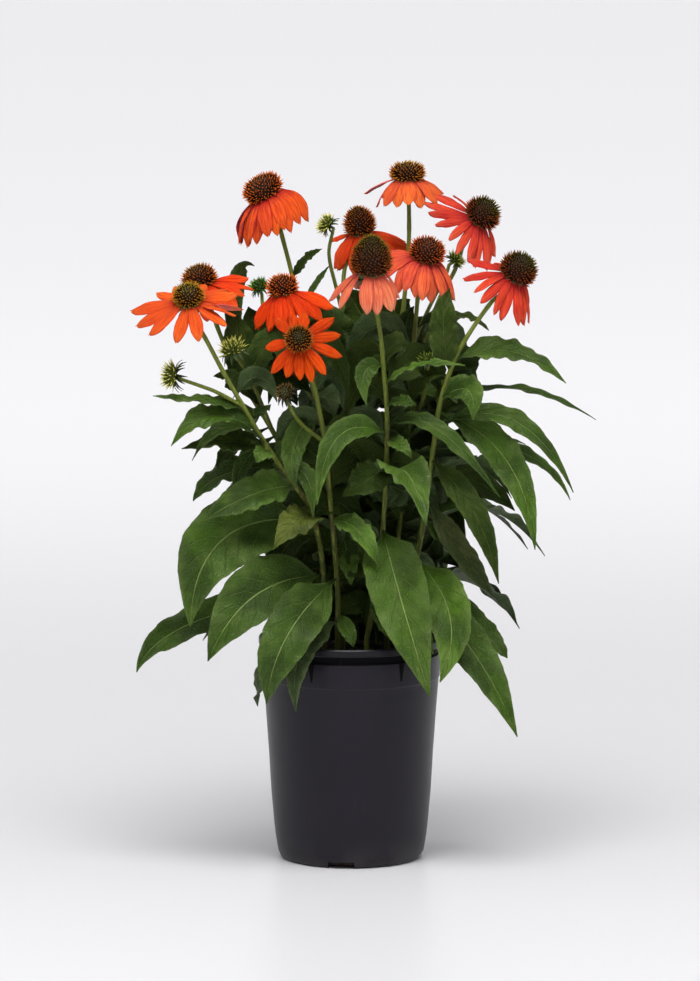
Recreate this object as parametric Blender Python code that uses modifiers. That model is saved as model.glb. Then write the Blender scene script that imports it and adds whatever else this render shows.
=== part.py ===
"""Orange coneflower in a nursery pot: eleven flowering stems, buds and leaves in a filled black pot.

Sizes in the tables are millimetres. The origin is the centre of the pot's underside, +Z is up and
-Y is the side that the plant shows best.
"""

import math

import bpy
import bmesh
from mathutils import Matrix, Vector
from mathutils.bvhtree import BVHTree

MM = 0.001
GAP = 0.3
UP = Vector((0, 0, 1))
VIEWER = Vector((0, -1, 0))

# Pot
POT_HEIGHT = 202.0
POT_FOOT_RADIUS = 60.0
POT_SHOULDER_RADIUS = 78.0
POT_RIM_RADIUS = 83.3
POT_WALL = 1.8
POT_FLOOR = 2.2
POT_SEGMENTS = 28
RIM_STRIP = 7.0
RECESS_HEIGHT = 7.2
RECESS_DEPTH = 2.6
NOTCH_WIDTH = 24.0
NOTCH_HEIGHT = 6.0
NOTCH_COUNT = 4
NOTCH_TURN = -98.0
GUSSET_COUNT = 6
GUSSET_TURN = -56.0

# Soil
SOIL_TOP = 188.0
SOIL_CROWN = 3.0
SOIL_CLEARANCE = 0.5
STEM_FOOT = 168.0
STEM_COLLAR = 194.0
HOLE_RADIUS = 3.6

# Stems: radius at the soil and under the bloom, radius of a bud's stalk, and rings along each
STEM_RADIUS = 2.6
NECK_RADIUS = 1.9
STALK_RADIUS = 1.5
STALK_SWELL = 0.4
STEM_RINGS = 9
STALK_RINGS = 5
PATH_POINTS = 60

# Flower parts: the hub that carries the petals, its two layers, the green cup under it
HUB_HEIGHT = 4.0
LAYER_DEPTHS = (1.6, 3.0)
LAYER_DROP = 10.0
HUB_SHARE = 0.72
CALYX_HEIGHT = 6.0
CALYX_SHARE = 0.52
PETAL_THICKNESS = 1.6
PETAL_ROWS = ((0.36, 0.86), (0.74, 1.0), (1, 0.72))
PETAL_NOTCH = 1.8
CONE_SPIKE = 1.6
BUD_SPIKE = 2.0
CONE_SWEEP = 124.0
CONE_WAIST = 0.4

# Leaves: thickness at the root, margin kept round each and the roll of those at the back
LEAF_THICKNESS = 1.7
LEAF_MARGIN = 0.9
BACK_ROLL = 35.0

# Depth runs down a little as it goes back, as seen from the front and slightly above
VIEW_SLOPE = 0.14

# Stems: where each stands in the soil, then the points it passes on its way up
STEMS = {
    "a": ((-12, 14), [(-6, 12, 269), (-15, 10, 342), (-28, 10, 415), (-42, 14, 478), (-54, 18, 531),
                      (-63, 18, 566)]),
    "b": ((-28, 6), [(-30, -8, 272), (-44, -22, 337), (-68, -30, 388), (-95, -28, 433), (-115, -22, 473)]),
    "c": ((-24, -14), [(-26, -30, 275), (-37, -48, 325), (-54, -58, 352), (-74, -68, 382), (-94, -75, 417),
                       (-114, -80, 453), (-133, -84, 489)]),
    "d": ((-8, -6), [(-10, -12, 291), (-19, -18, 364), (-30, -26, 415), (-45, -36, 465)]),
    "e": ((-12, -30), [(-12, -32, 248), (-17, -42, 313), (-24, -56, 387), (-30, -64, 424), (-38, -70, 455)]),
    "f": ((4, 32), [(5, 36, 302), (3, 50, 382), (-3, 65, 444), (-7, 80, 497), (-4, 88, 531)]),
    "g": ((14, -24), [(24, -28, 257), (30, -34, 330), (32, -46, 404), (29, -56, 450), (24, -66, 496)]),
    "h": ((24, 22), [(33, 26, 303), (39, 34, 393), (43, 44, 456), (48, 50, 501), (52, 52, 550), (52, 50, 590)]),
    "i": ((32, -2), [(44, -2, 307), (51, 0, 389), (55, 2, 447), (58, 0, 488)]),
    "j": ((42, 14), [(46, 16, 268), (55, 24, 358), (58, 32, 412), (61, 40, 452), (70, 48, 474), (80, 56, 501),
                     (95, 54, 530)]),
    "k": ((42, -20), [(62, -22, 292), (72, -28, 365), (79, -34, 416), (88, -38, 446), (99, -42, 471),
                      (124, -48, 509)]),
}

# Blooms: middle of the cone, way it faces, cone radius and height, then the petals' number, length,
# width, rise where they leave the hub (degrees) and how far they hang (0 straight, 1 down)
BLOOMS = {
    "a": ((-82, 20, 609), (-0.48, -0.15, 0.86), (18.5, 24), (15, 46, 12, -8, 0.8)),
    "b": ((-137, -20, 532), (-0.35, -0.12, 0.93), (16.5, 22), (13, 40, 12.5, -10, 0.35)),
    "c": ((-144, -92, 524), (-0.1, -0.42, 0.9), (16.5, 19), (12, 42, 15, -8, 0.25)),
    "d": ((-62, -40, 527), (-0.2, -0.15, 0.97), (14.5, 20), (13, 38, 11.5, -18, 0.6)),
    "e": ((-46, -112, 486), (0.0, -0.9, 0.43), (14.5, 18), (12, 32, 12, -14, 0.15)),
    "f": ((7, 95, 570), (-0.12, -0.2, 0.97), (14.5, 27), (12, 42, 12.5, -28, 0.4)),
    "g": ((18, -75, 557), (0.03, -0.2, 0.98), (18.5, 36), (11, 40, 15, -34, 0.55)),
    "h": ((51, 50, 620), (0.0, -0.06, 1.0), (16, 19), (13, 32, 11, -24, 0.3)),
    "i": ((69, -14, 555), (0.25, -0.25, 0.93), (16.5, 22), (14, 40, 11.5, -22, 0.55)),
    "j": ((121, 34, 584), (0.55, -0.35, 0.75), (16.5, 24), (14, 40, 11, -20, 0.35)),
    "k": ((151, -50, 543), (0.5, -0.35, 0.8), (17, 25), (13, 38, 11, -26, 0.4)),
}

# Buds: stem, height where the stalk leaves it, points of the stalk, middle, way it faces, then radius
# and height
BUDS = [
    ("d", 415, [(-66, 0, 462), (-79, 16, 498)], (-84, 22, 520), (-0.3, -0.2, 0.9), (8.5, 15)),
    ("f", 478, [(-13, 66, 508), (-20, 55, 542)], (-25, 50, 571), (-0.8, -0.2, 0.5), (9, 12)),
    ("i", 470, [(73, 38, 500), (86, 36, 526)], (97, 30, 541), (0.8, -0.1, 0.6), (7.5, 12)),
    ("c", 420, [(-120, -82, 434), (-136, -82, 440), (-153, -80, 446)], (-163, -80, 449),
     (-0.95, -0.2, 0.15), (11, 16)),
    ("b", 390, [(-90, -42, 442), (-100, -48, 458)], (-107, -50, 472), (-0.35, -0.2, 0.9), (11, 16)),
    ("e", 385, [(-45, -72, 405), (-56, -80, 424)], (-60, -85, 436), (-0.4, -0.6, 0.6), (10, 12)),
    ("j", 395, [(65, -10, 420), (69, -26, 446)], (69, -30, 460), (0.0, -0.1, 1.0), (9.5, 12)),
]

# Leaves seen from the front: stem, height of the root on it, middle, tip, width and how far the face
# turns from up towards the viewer (degrees)
LEAVES = [
    ("g", 454, (12, -68, 449), (14, -76, 421), 22, 75),
    ("g", 435, (58, -68, 454), (101, -80, 457), 15, 22),
    ("g", 418, (44, -62, 422), (58, -68, 420), 15, 42),
    ("g", 398, (75, -66, 399), (132, -80, 339), 17, 45),
    ("g", 391, (-11, -84, 394), (-30, -96, 335), 27, 70),
    ("g", 385, (44, -60, 383), (54, -66, 372), 14, 48),
    ("g", 362, (15, -60, 352), (-8, -64, 338), 32, 56),
    ("g", 303, (44, -86, 250), (70, -98, 163), 52, 78),
    ("g", 248, (30, -46, 225), (38, -56, 205), 20, 60),
    ("c", 429, (-106, -68, 443), (-122, -70, 446), 20, 42),
    ("c", 418, (-134, -88, 426), (-175, -98, 432), 17, 24),
    ("c", 395, (-123, -86, 413), (-159, -96, 387), 26, 42),
    ("c", 385, (-110, -98, 404), (-140, -108, 376), 16, 32),
    ("c", 383, (-109, -76, 388), (-150, -84, 383), 27, 36),
    ("c", 378, (-79, -82, 378), (-84, -90, 372), 16, 60),
    ("c", 361, (-40, -72, 357), (-34, -80, 321), 17, 50),
    ("c", 346, (-88, -78, 341), (-131, -92, 320), 34, 55),
    ("c", 314, (-47, -74, 317), (-69, -84, 293), 32, 45),
    ("c", 260, (-86, -84, 251), (-127, -100, 195), 54, 70),
    ("e", 313, (6, -72, 308), (25, -84, 278), 26, 42),
    ("e", 259, (-56, -92, 218), (-75, -104, 158), 45, 78),
    ("e", 226, (-2, -52, 213), (2, -60, 201), 14, 70),
    ("e", 219, (-44, -92, 203), (-49, -106, 151), 26, 70),
    ("b", 452, (-103, 20, 520), (-87, 34, 533), 16, 60),
    ("b", 409, (-98, -10, 461), (-102, -4, 495), 32, 70),
    ("b", 395, (-106, -44, 377), (-119, -50, 361), 16, 30),
    ("b", 387, (-95, -56, 367), (-102, -64, 337), 15, 60),
    ("b", 358, (-110, -34, 354), (-141, -40, 330), 28, 38),
    ("b", 309, (-115, -56, 297), (-143, -80, 223), 68, 72),
    ("d", 423, (-74, -10, 467), (-92, -6, 501), 48, 62),
    ("d", 412, (-51, -72, 384), (-48, -84, 348), 22, 80),
    ("d", 311, (-2, -70, 281), (2, -76, 248), 26, 80),
    ("d", 236, (-79, -70, 182), (-97, -90, 134), 24, 50),
    ("a", 524, (-40, 14, 541), (-26, 10, 551), 18, 38),
    ("a", 495, (-31, 28, 518), (-19, 32, 534), 9, 30),
    ("a", 241, (-138, -60, 224), (-191, -76, 181), 32, 60),
    ("k", 455, (141, -50, 466), (191, -56, 438), 25, 36),
    ("k", 446, (82, -22, 485), (88, -24, 519), 26, 72),
    ("k", 433, (101, -20, 438), (109, -14, 448), 26, 60),
    ("k", 422, (104, -58, 432), (108, -64, 406), 26, 70),
    ("k", 420, (149, -20, 428), (219, -24, 401), 12, 18),
    ("k", 409, (138, -44, 368), (164, -60, 289), 44, 60),
    ("k", 398, (146, -48, 403), (198, -56, 340), 21, 50),
    ("k", 384, (153, -26, 372), (196, -34, 330), 14, 40),
    ("k", 365, (109, -74, 325), (131, -88, 263), 28, 62),
    ("k", 329, (101, -50, 282), (127, -58, 247), 30, 62),
    ("k", 311, (93, -40, 289), (117, -48, 270), 18, 40),
    ("k", 274, (88, -80, 232), (79, -94, 175), 39, 76),
    ("k", 254, (112, -30, 214), (140, -42, 188), 28, 50),
    ("k", 247, (106, -66, 202), (148, -90, 125), 38, 62),
    ("i", 479, (94, 22, 489), (124, 22, 476), 26, 22),
    ("i", 441, (49, 34, 473), (57, 40, 496), 32, 66),
    ("i", 421, (89, -14, 429), (114, -20, 433), 22, 35),
    ("i", 414, (80, 16, 416), (105, 18, 403), 32, 42),
    ("i", 353, (104, 26, 342), (148, 30, 311), 42, 62),
    ("j", 403, (113, 20, 406), (161, 20, 396), 12, 15),
    ("j", 376, (111, 14, 383), (157, 12, 374), 12, 15),
    ("j", 345, (80, -10, 334), (103, -16, 291), 32, 52),
    ("h", 429, (15, 72, 475), (-5, 76, 507), 58, 62),
    ("h", 418, (41, 78, 470), (54, 84, 497), 46, 66),
    ("h", 303, (46, -14, 290), (59, -22, 262), 22, 50),
    ("f", 409, (-19, 50, 464), (-35, 44, 508), 52, 62),
]

# Leaves of the back and the inside: stem, then height on it and compass angle of each (90 is the back)
BACK_LEAVES = {
    "a": [(222, 120), (240, 170), (262, 100), (300, 130), (345, 165), (375, 110), (400, 60), (430, 150)],
    "b": [(226, 195), (262, 150), (300, 180), (345, 110)],
    "d": [(378, 235)],
    "f": [(224, 80), (250, 130), (285, 40), (325, 100), (365, 150), (405, 30), (440, 100), (470, 60)],
    "g": [(228, 300), (270, 270), (345, 290)],
    "h": [(226, 60), (240, 20), (262, 100), (345, 70), (385, 20), (440, 60)],
    "i": [(345, 20), (380, 350)],
    "j": [(224, 30), (258, 70), (300, 10), (345, 50), (385, 80)],
    "k": [(300, 10), (345, 20)],
}

# A leaf that would cross another piece bends in depth (shifts of its middle and of its tip, the least
# first), then grows smaller
MIDDLE_SHIFTS = (0, -8, 8, -16, 16, -24, 24, 36)
TIP_SHIFTS = (0, -10, 10, -20, 20, -32, 32, 46)
BENDS = sorted(
    ((middle, tip) for middle in MIDDLE_SHIFTS for tip in TIP_SHIFTS),
    key=lambda bend: abs(bend[0]) + abs(bend[1]),
)
SIZES = (1.0, 0.85, 0.7)


def clear_scene():
    """Start from an empty file."""
    for thing in list(bpy.data.objects):
        bpy.data.objects.remove(thing, do_unlink=True)
    for group in list(bpy.data.collections):
        bpy.data.collections.remove(group)


def new_collection(name):
    group = bpy.data.collections.new(name)
    bpy.context.scene.collection.children.link(group)
    return group


def make_material(name, colour, roughness):
    """A plain Principled material for one kind of piece."""
    material = bpy.data.materials.new(name)
    material.use_nodes = True
    shader = material.node_tree.nodes["Principled BSDF"]
    shader.inputs["Base Color"].default_value = (*colour, 1)
    shader.inputs["Roughness"].default_value = roughness
    shader.inputs["Metallic"].default_value = 0
    return material


def add_object(name, mesh, group):
    thing = bpy.data.objects.new(name, mesh)
    group.objects.link(thing)
    return thing


def move_to(thing, group):
    """Take an object out of its collections and put it in one."""
    for home in list(thing.users_collection):
        home.objects.unlink(thing)
    group.objects.link(thing)


def as_cutter(cutter, cutters):
    """Keep a cutter out of renders, drawn as wire, in the cutters' collection."""
    cutter.hide_render = True
    cutter.display_type = "WIRE"
    move_to(cutter, cutters)
    return cutter


def from_bmesh(name, bm, group):
    """Turn a bmesh in millimetres into an object in metres, shaded smooth with its sharp edges kept."""
    bmesh.ops.scale(bm, vec=(MM, MM, MM), verts=bm.verts)
    bmesh.ops.recalc_face_normals(bm, faces=bm.faces)
    mesh = bpy.data.meshes.new(name)
    bm.to_mesh(mesh)
    bm.free()
    mesh.shade_smooth()
    mesh.set_sharp_from_angle(angle=math.radians(50))
    return add_object(name, mesh, group)


def apply_modifiers(thing):
    """Replace the mesh by what its modifiers make of it."""
    evaluated = thing.evaluated_get(bpy.context.evaluated_depsgraph_get())
    mesh = bpy.data.meshes.new_from_object(evaluated)
    thing.modifiers.clear()
    thing.data = mesh
    return thing


def join_by_boolean(thing, pieces, operation="UNION"):
    """Join or cut a thing with a list of closed pieces, then remove them."""
    if not pieces:
        return thing
    group = new_collection(thing.name + "_pieces")
    for piece in pieces:
        move_to(piece, group)
    modifier = thing.modifiers.new("join", "BOOLEAN")
    modifier.operation = operation
    modifier.operand_type = "COLLECTION"
    modifier.collection = group
    modifier.solver = "EXACT"
    apply_modifiers(thing)
    for piece in list(group.objects):
        bpy.data.objects.remove(piece, do_unlink=True)
    bpy.data.collections.remove(group)
    return thing


def turned(name, profile, group, segments):
    """A solid turned about Z from a profile of (radius, height) that runs down its outer side."""
    mesh = bpy.data.meshes.new(name)
    points = [(r * MM, 0, z * MM) for r, z in profile]
    mesh.from_pydata(points, [(i, i + 1) for i in range(len(points) - 1)], [])
    thing = add_object(name, mesh, group)
    screw = thing.modifiers.new("turn", "SCREW")
    screw.steps = segments
    screw.render_steps = segments
    screw.use_merge_vertices = True
    screw.merge_threshold = 0.00005
    screw.use_smooth_shade = True
    return thing


def smooth_path(points, count):
    """Points evenly spaced along a smooth curve through the given ones."""
    points = [Vector(p) for p in points]
    knots = [0.0]
    for a, b in zip(points, points[1:]):
        knots.append(knots[-1] + (b - a).length)
    slopes = []
    for i in range(len(points)):
        low, high = max(i - 1, 0), min(i + 1, len(points) - 1)
        slopes.append((points[high] - points[low]) / (knots[high] - knots[low]))
    path = []
    span = 0
    for step in range(count):
        s = knots[-1] * step / (count - 1)
        while span < len(points) - 2 and s > knots[span + 1]:
            span += 1
        width = knots[span + 1] - knots[span]
        t = (s - knots[span]) / width
        path.append(
            (2 * t**3 - 3 * t**2 + 1) * points[span]
            + (t**3 - 2 * t**2 + t) * width * slopes[span]
            + (3 * t**2 - 2 * t**3) * points[span + 1]
            + (t**3 - t**2) * width * slopes[span + 1]
        )
    return path


def tube(name, path, thick, thin, group, flare=0.0):
    """A tapering six-sided stem along a path, with closed ends and, if asked, a cup at its top."""
    curve = bpy.data.curves.new(name, "CURVE")
    curve.dimensions = "3D"
    curve.bevel_depth = MM
    curve.bevel_resolution = 1
    curve.use_fill_caps = True
    spline = curve.splines.new("POLY")
    spline.points.add(len(path) - 1)
    for i, point in enumerate(path):
        spline.points[i].co = (*(point * MM), 1)
        spline.points[i].radius = thick + (thin - thick) * i / (len(path) - 1)
    if flare:
        spline.points[-1].radius = flare
    guide = add_object(name + "_line", curve, group)
    evaluated = guide.evaluated_get(bpy.context.evaluated_depsgraph_get())
    mesh = bpy.data.meshes.new_from_object(evaluated)
    bpy.data.objects.remove(guide, do_unlink=True)
    bm = bmesh.new()
    bm.from_mesh(mesh)
    bmesh.ops.remove_doubles(bm, verts=bm.verts, dist=0.00001)
    bmesh.ops.recalc_face_normals(bm, faces=bm.faces)
    bm.to_mesh(mesh)
    bm.free()
    mesh.materials.clear()
    mesh.shade_smooth()
    return add_object(name, mesh, group)


def at_height(path, z):
    """The point of a stem's path at a height."""
    for a, b in zip(path, path[1:]):
        if b.z >= z:
            return a.lerp(b, max(0.0, (z - a.z) / (b.z - a.z)))
    return path[-1]


def across(axis):
    """Two directions square to an axis and to each other."""
    first = axis.orthogonal().normalized()
    return first, axis.cross(first)


def leaf_faces(rows):
    """Triangles of a leaf, four points to a row (left, top, bottom, right) and one for its tip."""
    faces = [(0, 1, 2), (1, 3, 2)]
    for i in range(rows - 1):
        a, b = 4 * i, 4 * (i + 1)
        for edge in (0, 3):
            for rib in (1, 2):
                faces.append((a + edge, a + rib, b + rib))
                faces.append((a + edge, b + rib, b + edge))
    last = 4 * (rows - 1)
    for edge in (0, 3):
        for rib in (1, 2):
            faces.append((last + edge, last + rib, last + 4))
    return faces


def solid_blade(name, points, faces, group):
    """A closed thin blade from its points and triangles."""
    bm = bmesh.new()
    corners = [bm.verts.new(p) for p in points]
    for face in faces:
        bm.faces.new([corners[i] for i in face])
    return from_bmesh(name, bm, group)


def leaf_frame(root, middle, tip, roll, face, t):
    """Place, side and normal of a leaf's midrib at t, on the curve through its middle."""
    control = 2 * middle - (root + tip) / 2
    place = (1 - t) ** 2 * root + 2 * t * (1 - t) * control + t**2 * tip
    along = ((1 - t) * (control - root) + t * (tip - control)).normalized()
    normal = UP * math.cos(roll) + face * math.sin(roll)
    side = along.cross(normal).normalized()
    return place, side, side.cross(along)


def leaf_width(t):
    """Half width of a leaf as a share of its widest, with a narrow stalk and a long tip."""
    return (t / 0.4) ** 0.6 * ((1 - t) / 0.6) ** 0.9


def leaf_points(root, middle, tip, width, roll, face, seed):
    """Points of a leaf: folded a little along its rib, with coarse teeth and waved edges."""
    rows = 7 if width > 44 else 5 if width > 20 else 4
    tooth, fold, swing = 0.09, 0.22, 0.10
    points = []
    for i in range(rows):
        t = (i + 0.02) / rows
        place, side, normal = leaf_frame(root, middle, tip, roll, face, t)
        half = max(1.1, width / 2 * leaf_width(t) * (1 + tooth * (-1) ** i))
        wave = swing * width * math.sin(math.pi * t)
        left = fold * half + wave * math.sin(2.1 * i + seed)
        right = fold * half + wave * math.sin(2.1 * i + seed + 2)
        if i == 0:
            left = right = 0
        thick = LEAF_THICKNESS / 2 * (1 - 0.5 * t)
        points.append(place - side * half + normal * left)
        points.append(place + normal * thick)
        points.append(place - normal * thick)
        points.append(place + side * half + normal * right)
    points.append(leaf_frame(root, middle, tip, roll, face, 1.0)[0])
    return points, rows


def tree_of(points, faces):
    return BVHTree.FromPolygons([tuple(p) for p in points], faces)


def object_tree(thing):
    """A tree of an object's faces in millimetres."""
    evaluated = thing.evaluated_get(bpy.context.evaluated_depsgraph_get())
    mesh = evaluated.to_mesh()
    points = [v.co / MM for v in mesh.vertices]
    faces = [tuple(p.vertices) for p in mesh.polygons]
    evaluated.to_mesh_clear()
    return tree_of(points, faces)


def leaf_is_clear(points, rows, others, own):
    """True where a leaf, made thicker and wider by a margin, crosses nothing that stands already.

    Its root may touch the other leaves of its own stem.
    """
    for shift in (-LEAF_MARGIN, 0, LEAF_MARGIN):
        layer = []
        for i in range(rows):
            left, top, bottom, right = points[4 * i:4 * i + 4]
            normal = (top - bottom).normalized()
            side = (right - left).normalized()
            lift = normal * shift
            layer.extend([left + lift - side, (top + bottom) / 2 + lift * 2, right + lift + side])
        layer.append(points[-1])
        faces = []
        for i in range(rows - 1):
            a, b = 3 * i, 3 * (i + 1)
            faces.extend([(a, a + 1, b + 1), (a, b + 1, b), (a + 2, a + 1, b + 1), (a + 2, b + 1, b + 2)])
        end = 3 * (rows - 1)
        faces.extend([(end, end + 1, end + 3), (end + 1, end + 2, end + 3)])
        sheet = tree_of(layer, faces)
        outer = tree_of(layer, faces[4:])
        if any(sheet.overlap(tree) for tree in others) or any(outer.overlap(tree) for tree in own):
            return False
    return True


def bent_clear(root, middle, tip, width, roll, face, seed, others, own):
    """The leaf's points after the least bend, then the least shortening, that keeps it clear."""
    for size in SIZES:
        for middle_shift, tip_shift in BENDS:
            back = Vector((0, 1, -VIEW_SLOPE))
            new_middle = root.lerp(middle, size) + back * middle_shift
            new_tip = root.lerp(tip, size) + back * tip_shift
            points, rows = leaf_points(root, new_middle, new_tip, width * size, roll, face, seed)
            if leaf_is_clear(points, rows, others, own):
                return points, rows
    return None


def back_leaf(root, z, angle):
    """Middle, tip, width and facing of a leaf of the back: long and low at the foot, short above."""
    away = Vector((math.cos(math.radians(angle)), math.sin(math.radians(angle)), 0))
    length = 135 - 0.2 * (z - 200)
    middle = root + away * 0.5 * length + UP * 0.16 * length
    tip = root + away * 0.98 * length - UP * 0.22 * length
    return middle, tip, 0.38 * length, away


def flower_frame(centre, facing, height):
    """Axis of a bloom and the middle of its hub's top."""
    axis = Vector(facing).normalized()
    return axis, Vector(centre) - axis * height / 2


def petal_points(hub, axis, radial, hub_radius, lower, length, width, rise, hang):
    """Rows of one petal, left edge, ridge and right edge: it leaves the hub and arches over to hang."""
    side = axis.cross(radial)
    angle = math.radians(rise - LAYER_DROP * lower)
    start = hub + radial * hub_radius - axis * LAYER_DEPTHS[lower]
    out = radial * math.cos(angle) + axis * math.sin(angle)
    down = (-axis * 0.4 - UP * 0.6).normalized()
    bend = start + out * length * 0.45
    end = bend + (out * (1 - hang) + down * hang).normalized() * length * 0.55
    rows = []
    for t, share in PETAL_ROWS:
        place = (1 - t) ** 2 * start + 2 * t * (1 - t) * bend + t**2 * end
        along = ((1 - t) * (bend - start) + t * (end - bend)).normalized()
        half = width / 2 * share
        ridge = place + along.cross(side) * PETAL_THICKNESS * (1 - 0.35 * t)
        if t == 1:
            ridge = ridge - along * PETAL_NOTCH
        rows.append((place - side * half, ridge, place + side * half))
    return rows


def grow_petal(bm, corners, rows):
    """Faces of a petal from the four corners of the hub's side (left and right, top then foot)."""
    left_top, right_top, left_foot, right_foot = corners
    left, ridge, right = [bm.verts.new(p) for p in rows[0]]
    for face in (
        (left_top, right_top, ridge), (left_top, ridge, left), (left_foot, left_top, left),
        (right_top, right, ridge), (right_foot, right, right_top),
        (left_foot, right, right_foot), (left_foot, left, right),
    ):
        bm.faces.new(face)
    last = (left, ridge, right)
    for row in rows[1:]:
        new = [bm.verts.new(p) for p in row]
        for one, other in ((0, 1), (2, 1), (0, 2)):
            bm.faces.new((last[one], last[other], new[other]))
            bm.faces.new((last[one], new[other], new[one]))
        last = new
    bm.faces.new(last)


def make_cone(name, centre, facing, radius, height, spike, group, around=14, rings=7):
    """A dome with a flat foot, its florets raised as points in turn round and up it."""
    axis, foot = flower_frame(centre, facing, height)
    first, second = across(axis)
    foot = foot + axis * GAP
    bm = bmesh.new()
    bmesh.ops.create_uvsphere(bm, u_segments=around, v_segments=rings + 1, radius=1)
    for vert in bm.verts:
        down = math.acos(max(-1.0, min(1.0, vert.co.z)))
        ring = round(down / math.pi * (rings + 1))
        turn = math.atan2(vert.co.y, vert.co.x)
        seat = round(turn / (2 * math.pi) * around)
        polar = math.radians(CONE_SWEEP) * ring / rings
        if ring > rings:
            out, up = 0.0, 0.0
        else:
            raised = spike if (ring + seat) % 2 and 0 < ring < rings else 0.0
            out = (radius + raised) * math.sin(polar)
            waist = CONE_WAIST * height
            above = polar < math.pi / 2
            reach = height - waist if above else -waist / math.cos(math.radians(CONE_SWEEP))
            up = waist + reach * math.cos(polar)
            up = max(0.0, up + raised * max(0.25, math.cos(polar)))
        vert.co = foot + axis * up + (first * math.cos(turn) + second * math.sin(turn)) * out
    return from_bmesh(name, bm, group)


def make_pot(group, cutters):
    """A turned pot with a recessed band under its rim, a step ring, stacking gussets and drain notches."""
    top = POT_HEIGHT
    strip = top - RIM_STRIP
    ledge = strip - RECESS_HEIGHT
    neck = POT_RIM_RADIUS - 2.3
    foot = POT_FOOT_RADIUS
    profile = [
        (0, POT_FLOOR), (foot - 1, POT_FLOOR), (foot + 2, 5), (foot + 5.2, 22),
        (POT_SHOULDER_RADIUS - POT_WALL, 150), (neck - RECESS_DEPTH - POT_WALL + 0.8, strip - 2),
        (POT_RIM_RADIUS - 2.4, strip + 2.5), (POT_RIM_RADIUS - 2, top), (POT_RIM_RADIUS - 0.8, top),
        (POT_RIM_RADIUS, top - 1.2), (POT_RIM_RADIUS, strip + 0.8), (POT_RIM_RADIUS - 0.8, strip),
        (neck - RECESS_DEPTH + 1, strip - 0.4), (neck - RECESS_DEPTH + 0.8, ledge + 0.3), (neck, ledge),
        (neck - 1, 168), (neck - 1.8, 165), (POT_SHOULDER_RADIUS, 150),
        (foot + 7, 22), (foot + 4.2, 6), (foot + 2, 1.2), (foot - 0.6, 0), (0, 0),
    ]
    pot = turned("pot", profile, group, POT_SEGMENTS)
    apply_modifiers(pot)
    ribs = []
    for i in range(GUSSET_COUNT):
        ribs.append(make_gusset(i, neck, ledge, group))
    join_by_boolean(pot, ribs)
    notches = []
    for i in range(NOTCH_COUNT):
        angle = math.radians(NOTCH_TURN + 360 / NOTCH_COUNT * i)
        bpy.ops.mesh.primitive_cube_add(size=1, location=(0, 0, 0))
        notch = bpy.context.object
        notch.name = "notch_%d" % i
        notch.scale = (16 * MM, NOTCH_WIDTH * MM, 2 * NOTCH_HEIGHT * MM)
        notch.rotation_euler.z = angle
        notch.location = (math.cos(angle) * foot * MM, math.sin(angle) * foot * MM, 0)
        notches.append(as_cutter(notch, cutters))
    bpy.context.view_layer.update()
    return join_by_boolean(pot, notches, "DIFFERENCE")


def make_gusset(number, neck, ledge, group):
    """A small triangular rib under the ledge, which keeps stacked pots apart."""
    angle = math.radians(GUSSET_TURN + 360 / GUSSET_COUNT * number)
    bm = bmesh.new()
    bmesh.ops.create_cube(bm, size=1)
    turn = Matrix.Rotation(angle, 3, "Z")
    for vert in bm.verts:
        outer = neck - 0.3 if vert.co.z > 0 else neck - 1.6
        out = outer if vert.co.x > 0 else neck - 3.0
        up = ledge - 0.6 if vert.co.z > 0 else ledge - 17
        half = (2.6 if vert.co.z > 0 else 0.6) * (1 if vert.co.y > 0 else -1)
        vert.co = turn @ Vector((out, half, up))
    return from_bmesh("gusset_%d" % number, bm, group)


def make_soil(group, cutters):
    """The filled pot's soil: a plug a little clear of the wall, with a plain hole for each stem."""
    clear = SOIL_CLEARANCE
    foot = POT_FOOT_RADIUS
    shoulder = POT_SHOULDER_RADIUS - POT_WALL
    profile = [
        (0, SOIL_TOP + SOIL_CROWN), (50, SOIL_TOP + SOIL_CROWN * 0.6), (shoulder - clear - 0.4, SOIL_TOP - 4),
        (shoulder - clear - 0.6, 150), (foot + 5.2 - clear, 22), (foot - 1.6, POT_FLOOR + GAP),
        (0, POT_FLOOR + GAP),
    ]
    soil = turned("soil", profile, group, POT_SEGMENTS)
    apply_modifiers(soil)
    holes = []
    bottom = STEM_FOOT - 1
    depth = SOIL_TOP + 10 - bottom
    for (x, y), _ in STEMS.values():
        bpy.ops.mesh.primitive_cylinder_add(
            vertices=6, radius=HOLE_RADIUS * MM, depth=depth * MM,
            location=(x * MM, y * MM, (bottom + depth / 2) * MM),
        )
        holes.append(as_cutter(bpy.context.object, cutters))
    bpy.context.view_layer.update()
    return join_by_boolean(soil, holes, "DIFFERENCE")


def stem_path(key):
    """The whole path of a stem, from the soil to the neck under its bloom."""
    (x, y), points = STEMS[key]
    centre, facing, (_, height), _ = BLOOMS[key]
    axis, hub = flower_frame(centre, facing, height)
    cup = hub - axis * (HUB_HEIGHT + GAP)
    neck = cup - axis * CALYX_HEIGHT
    route = [(x, y, STEM_COLLAR), (x, y, STEM_COLLAR + 8)] + points + [neck - axis * 9, neck]
    return [Vector((x, y, STEM_FOOT))] + smooth_path(route, PATH_POINTS) + [cup]


def thinned(path, count):
    """The same path with fewer points."""
    last = len(path) - 1
    return [path[round(last * i / (count - 1))] for i in range(count)]


def stem_rings(path):
    """A stem's rings: its foot, a few along its length, and its cup."""
    return path[:1] + thinned(path[1:-1], STEM_RINGS) + path[-1:]


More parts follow.
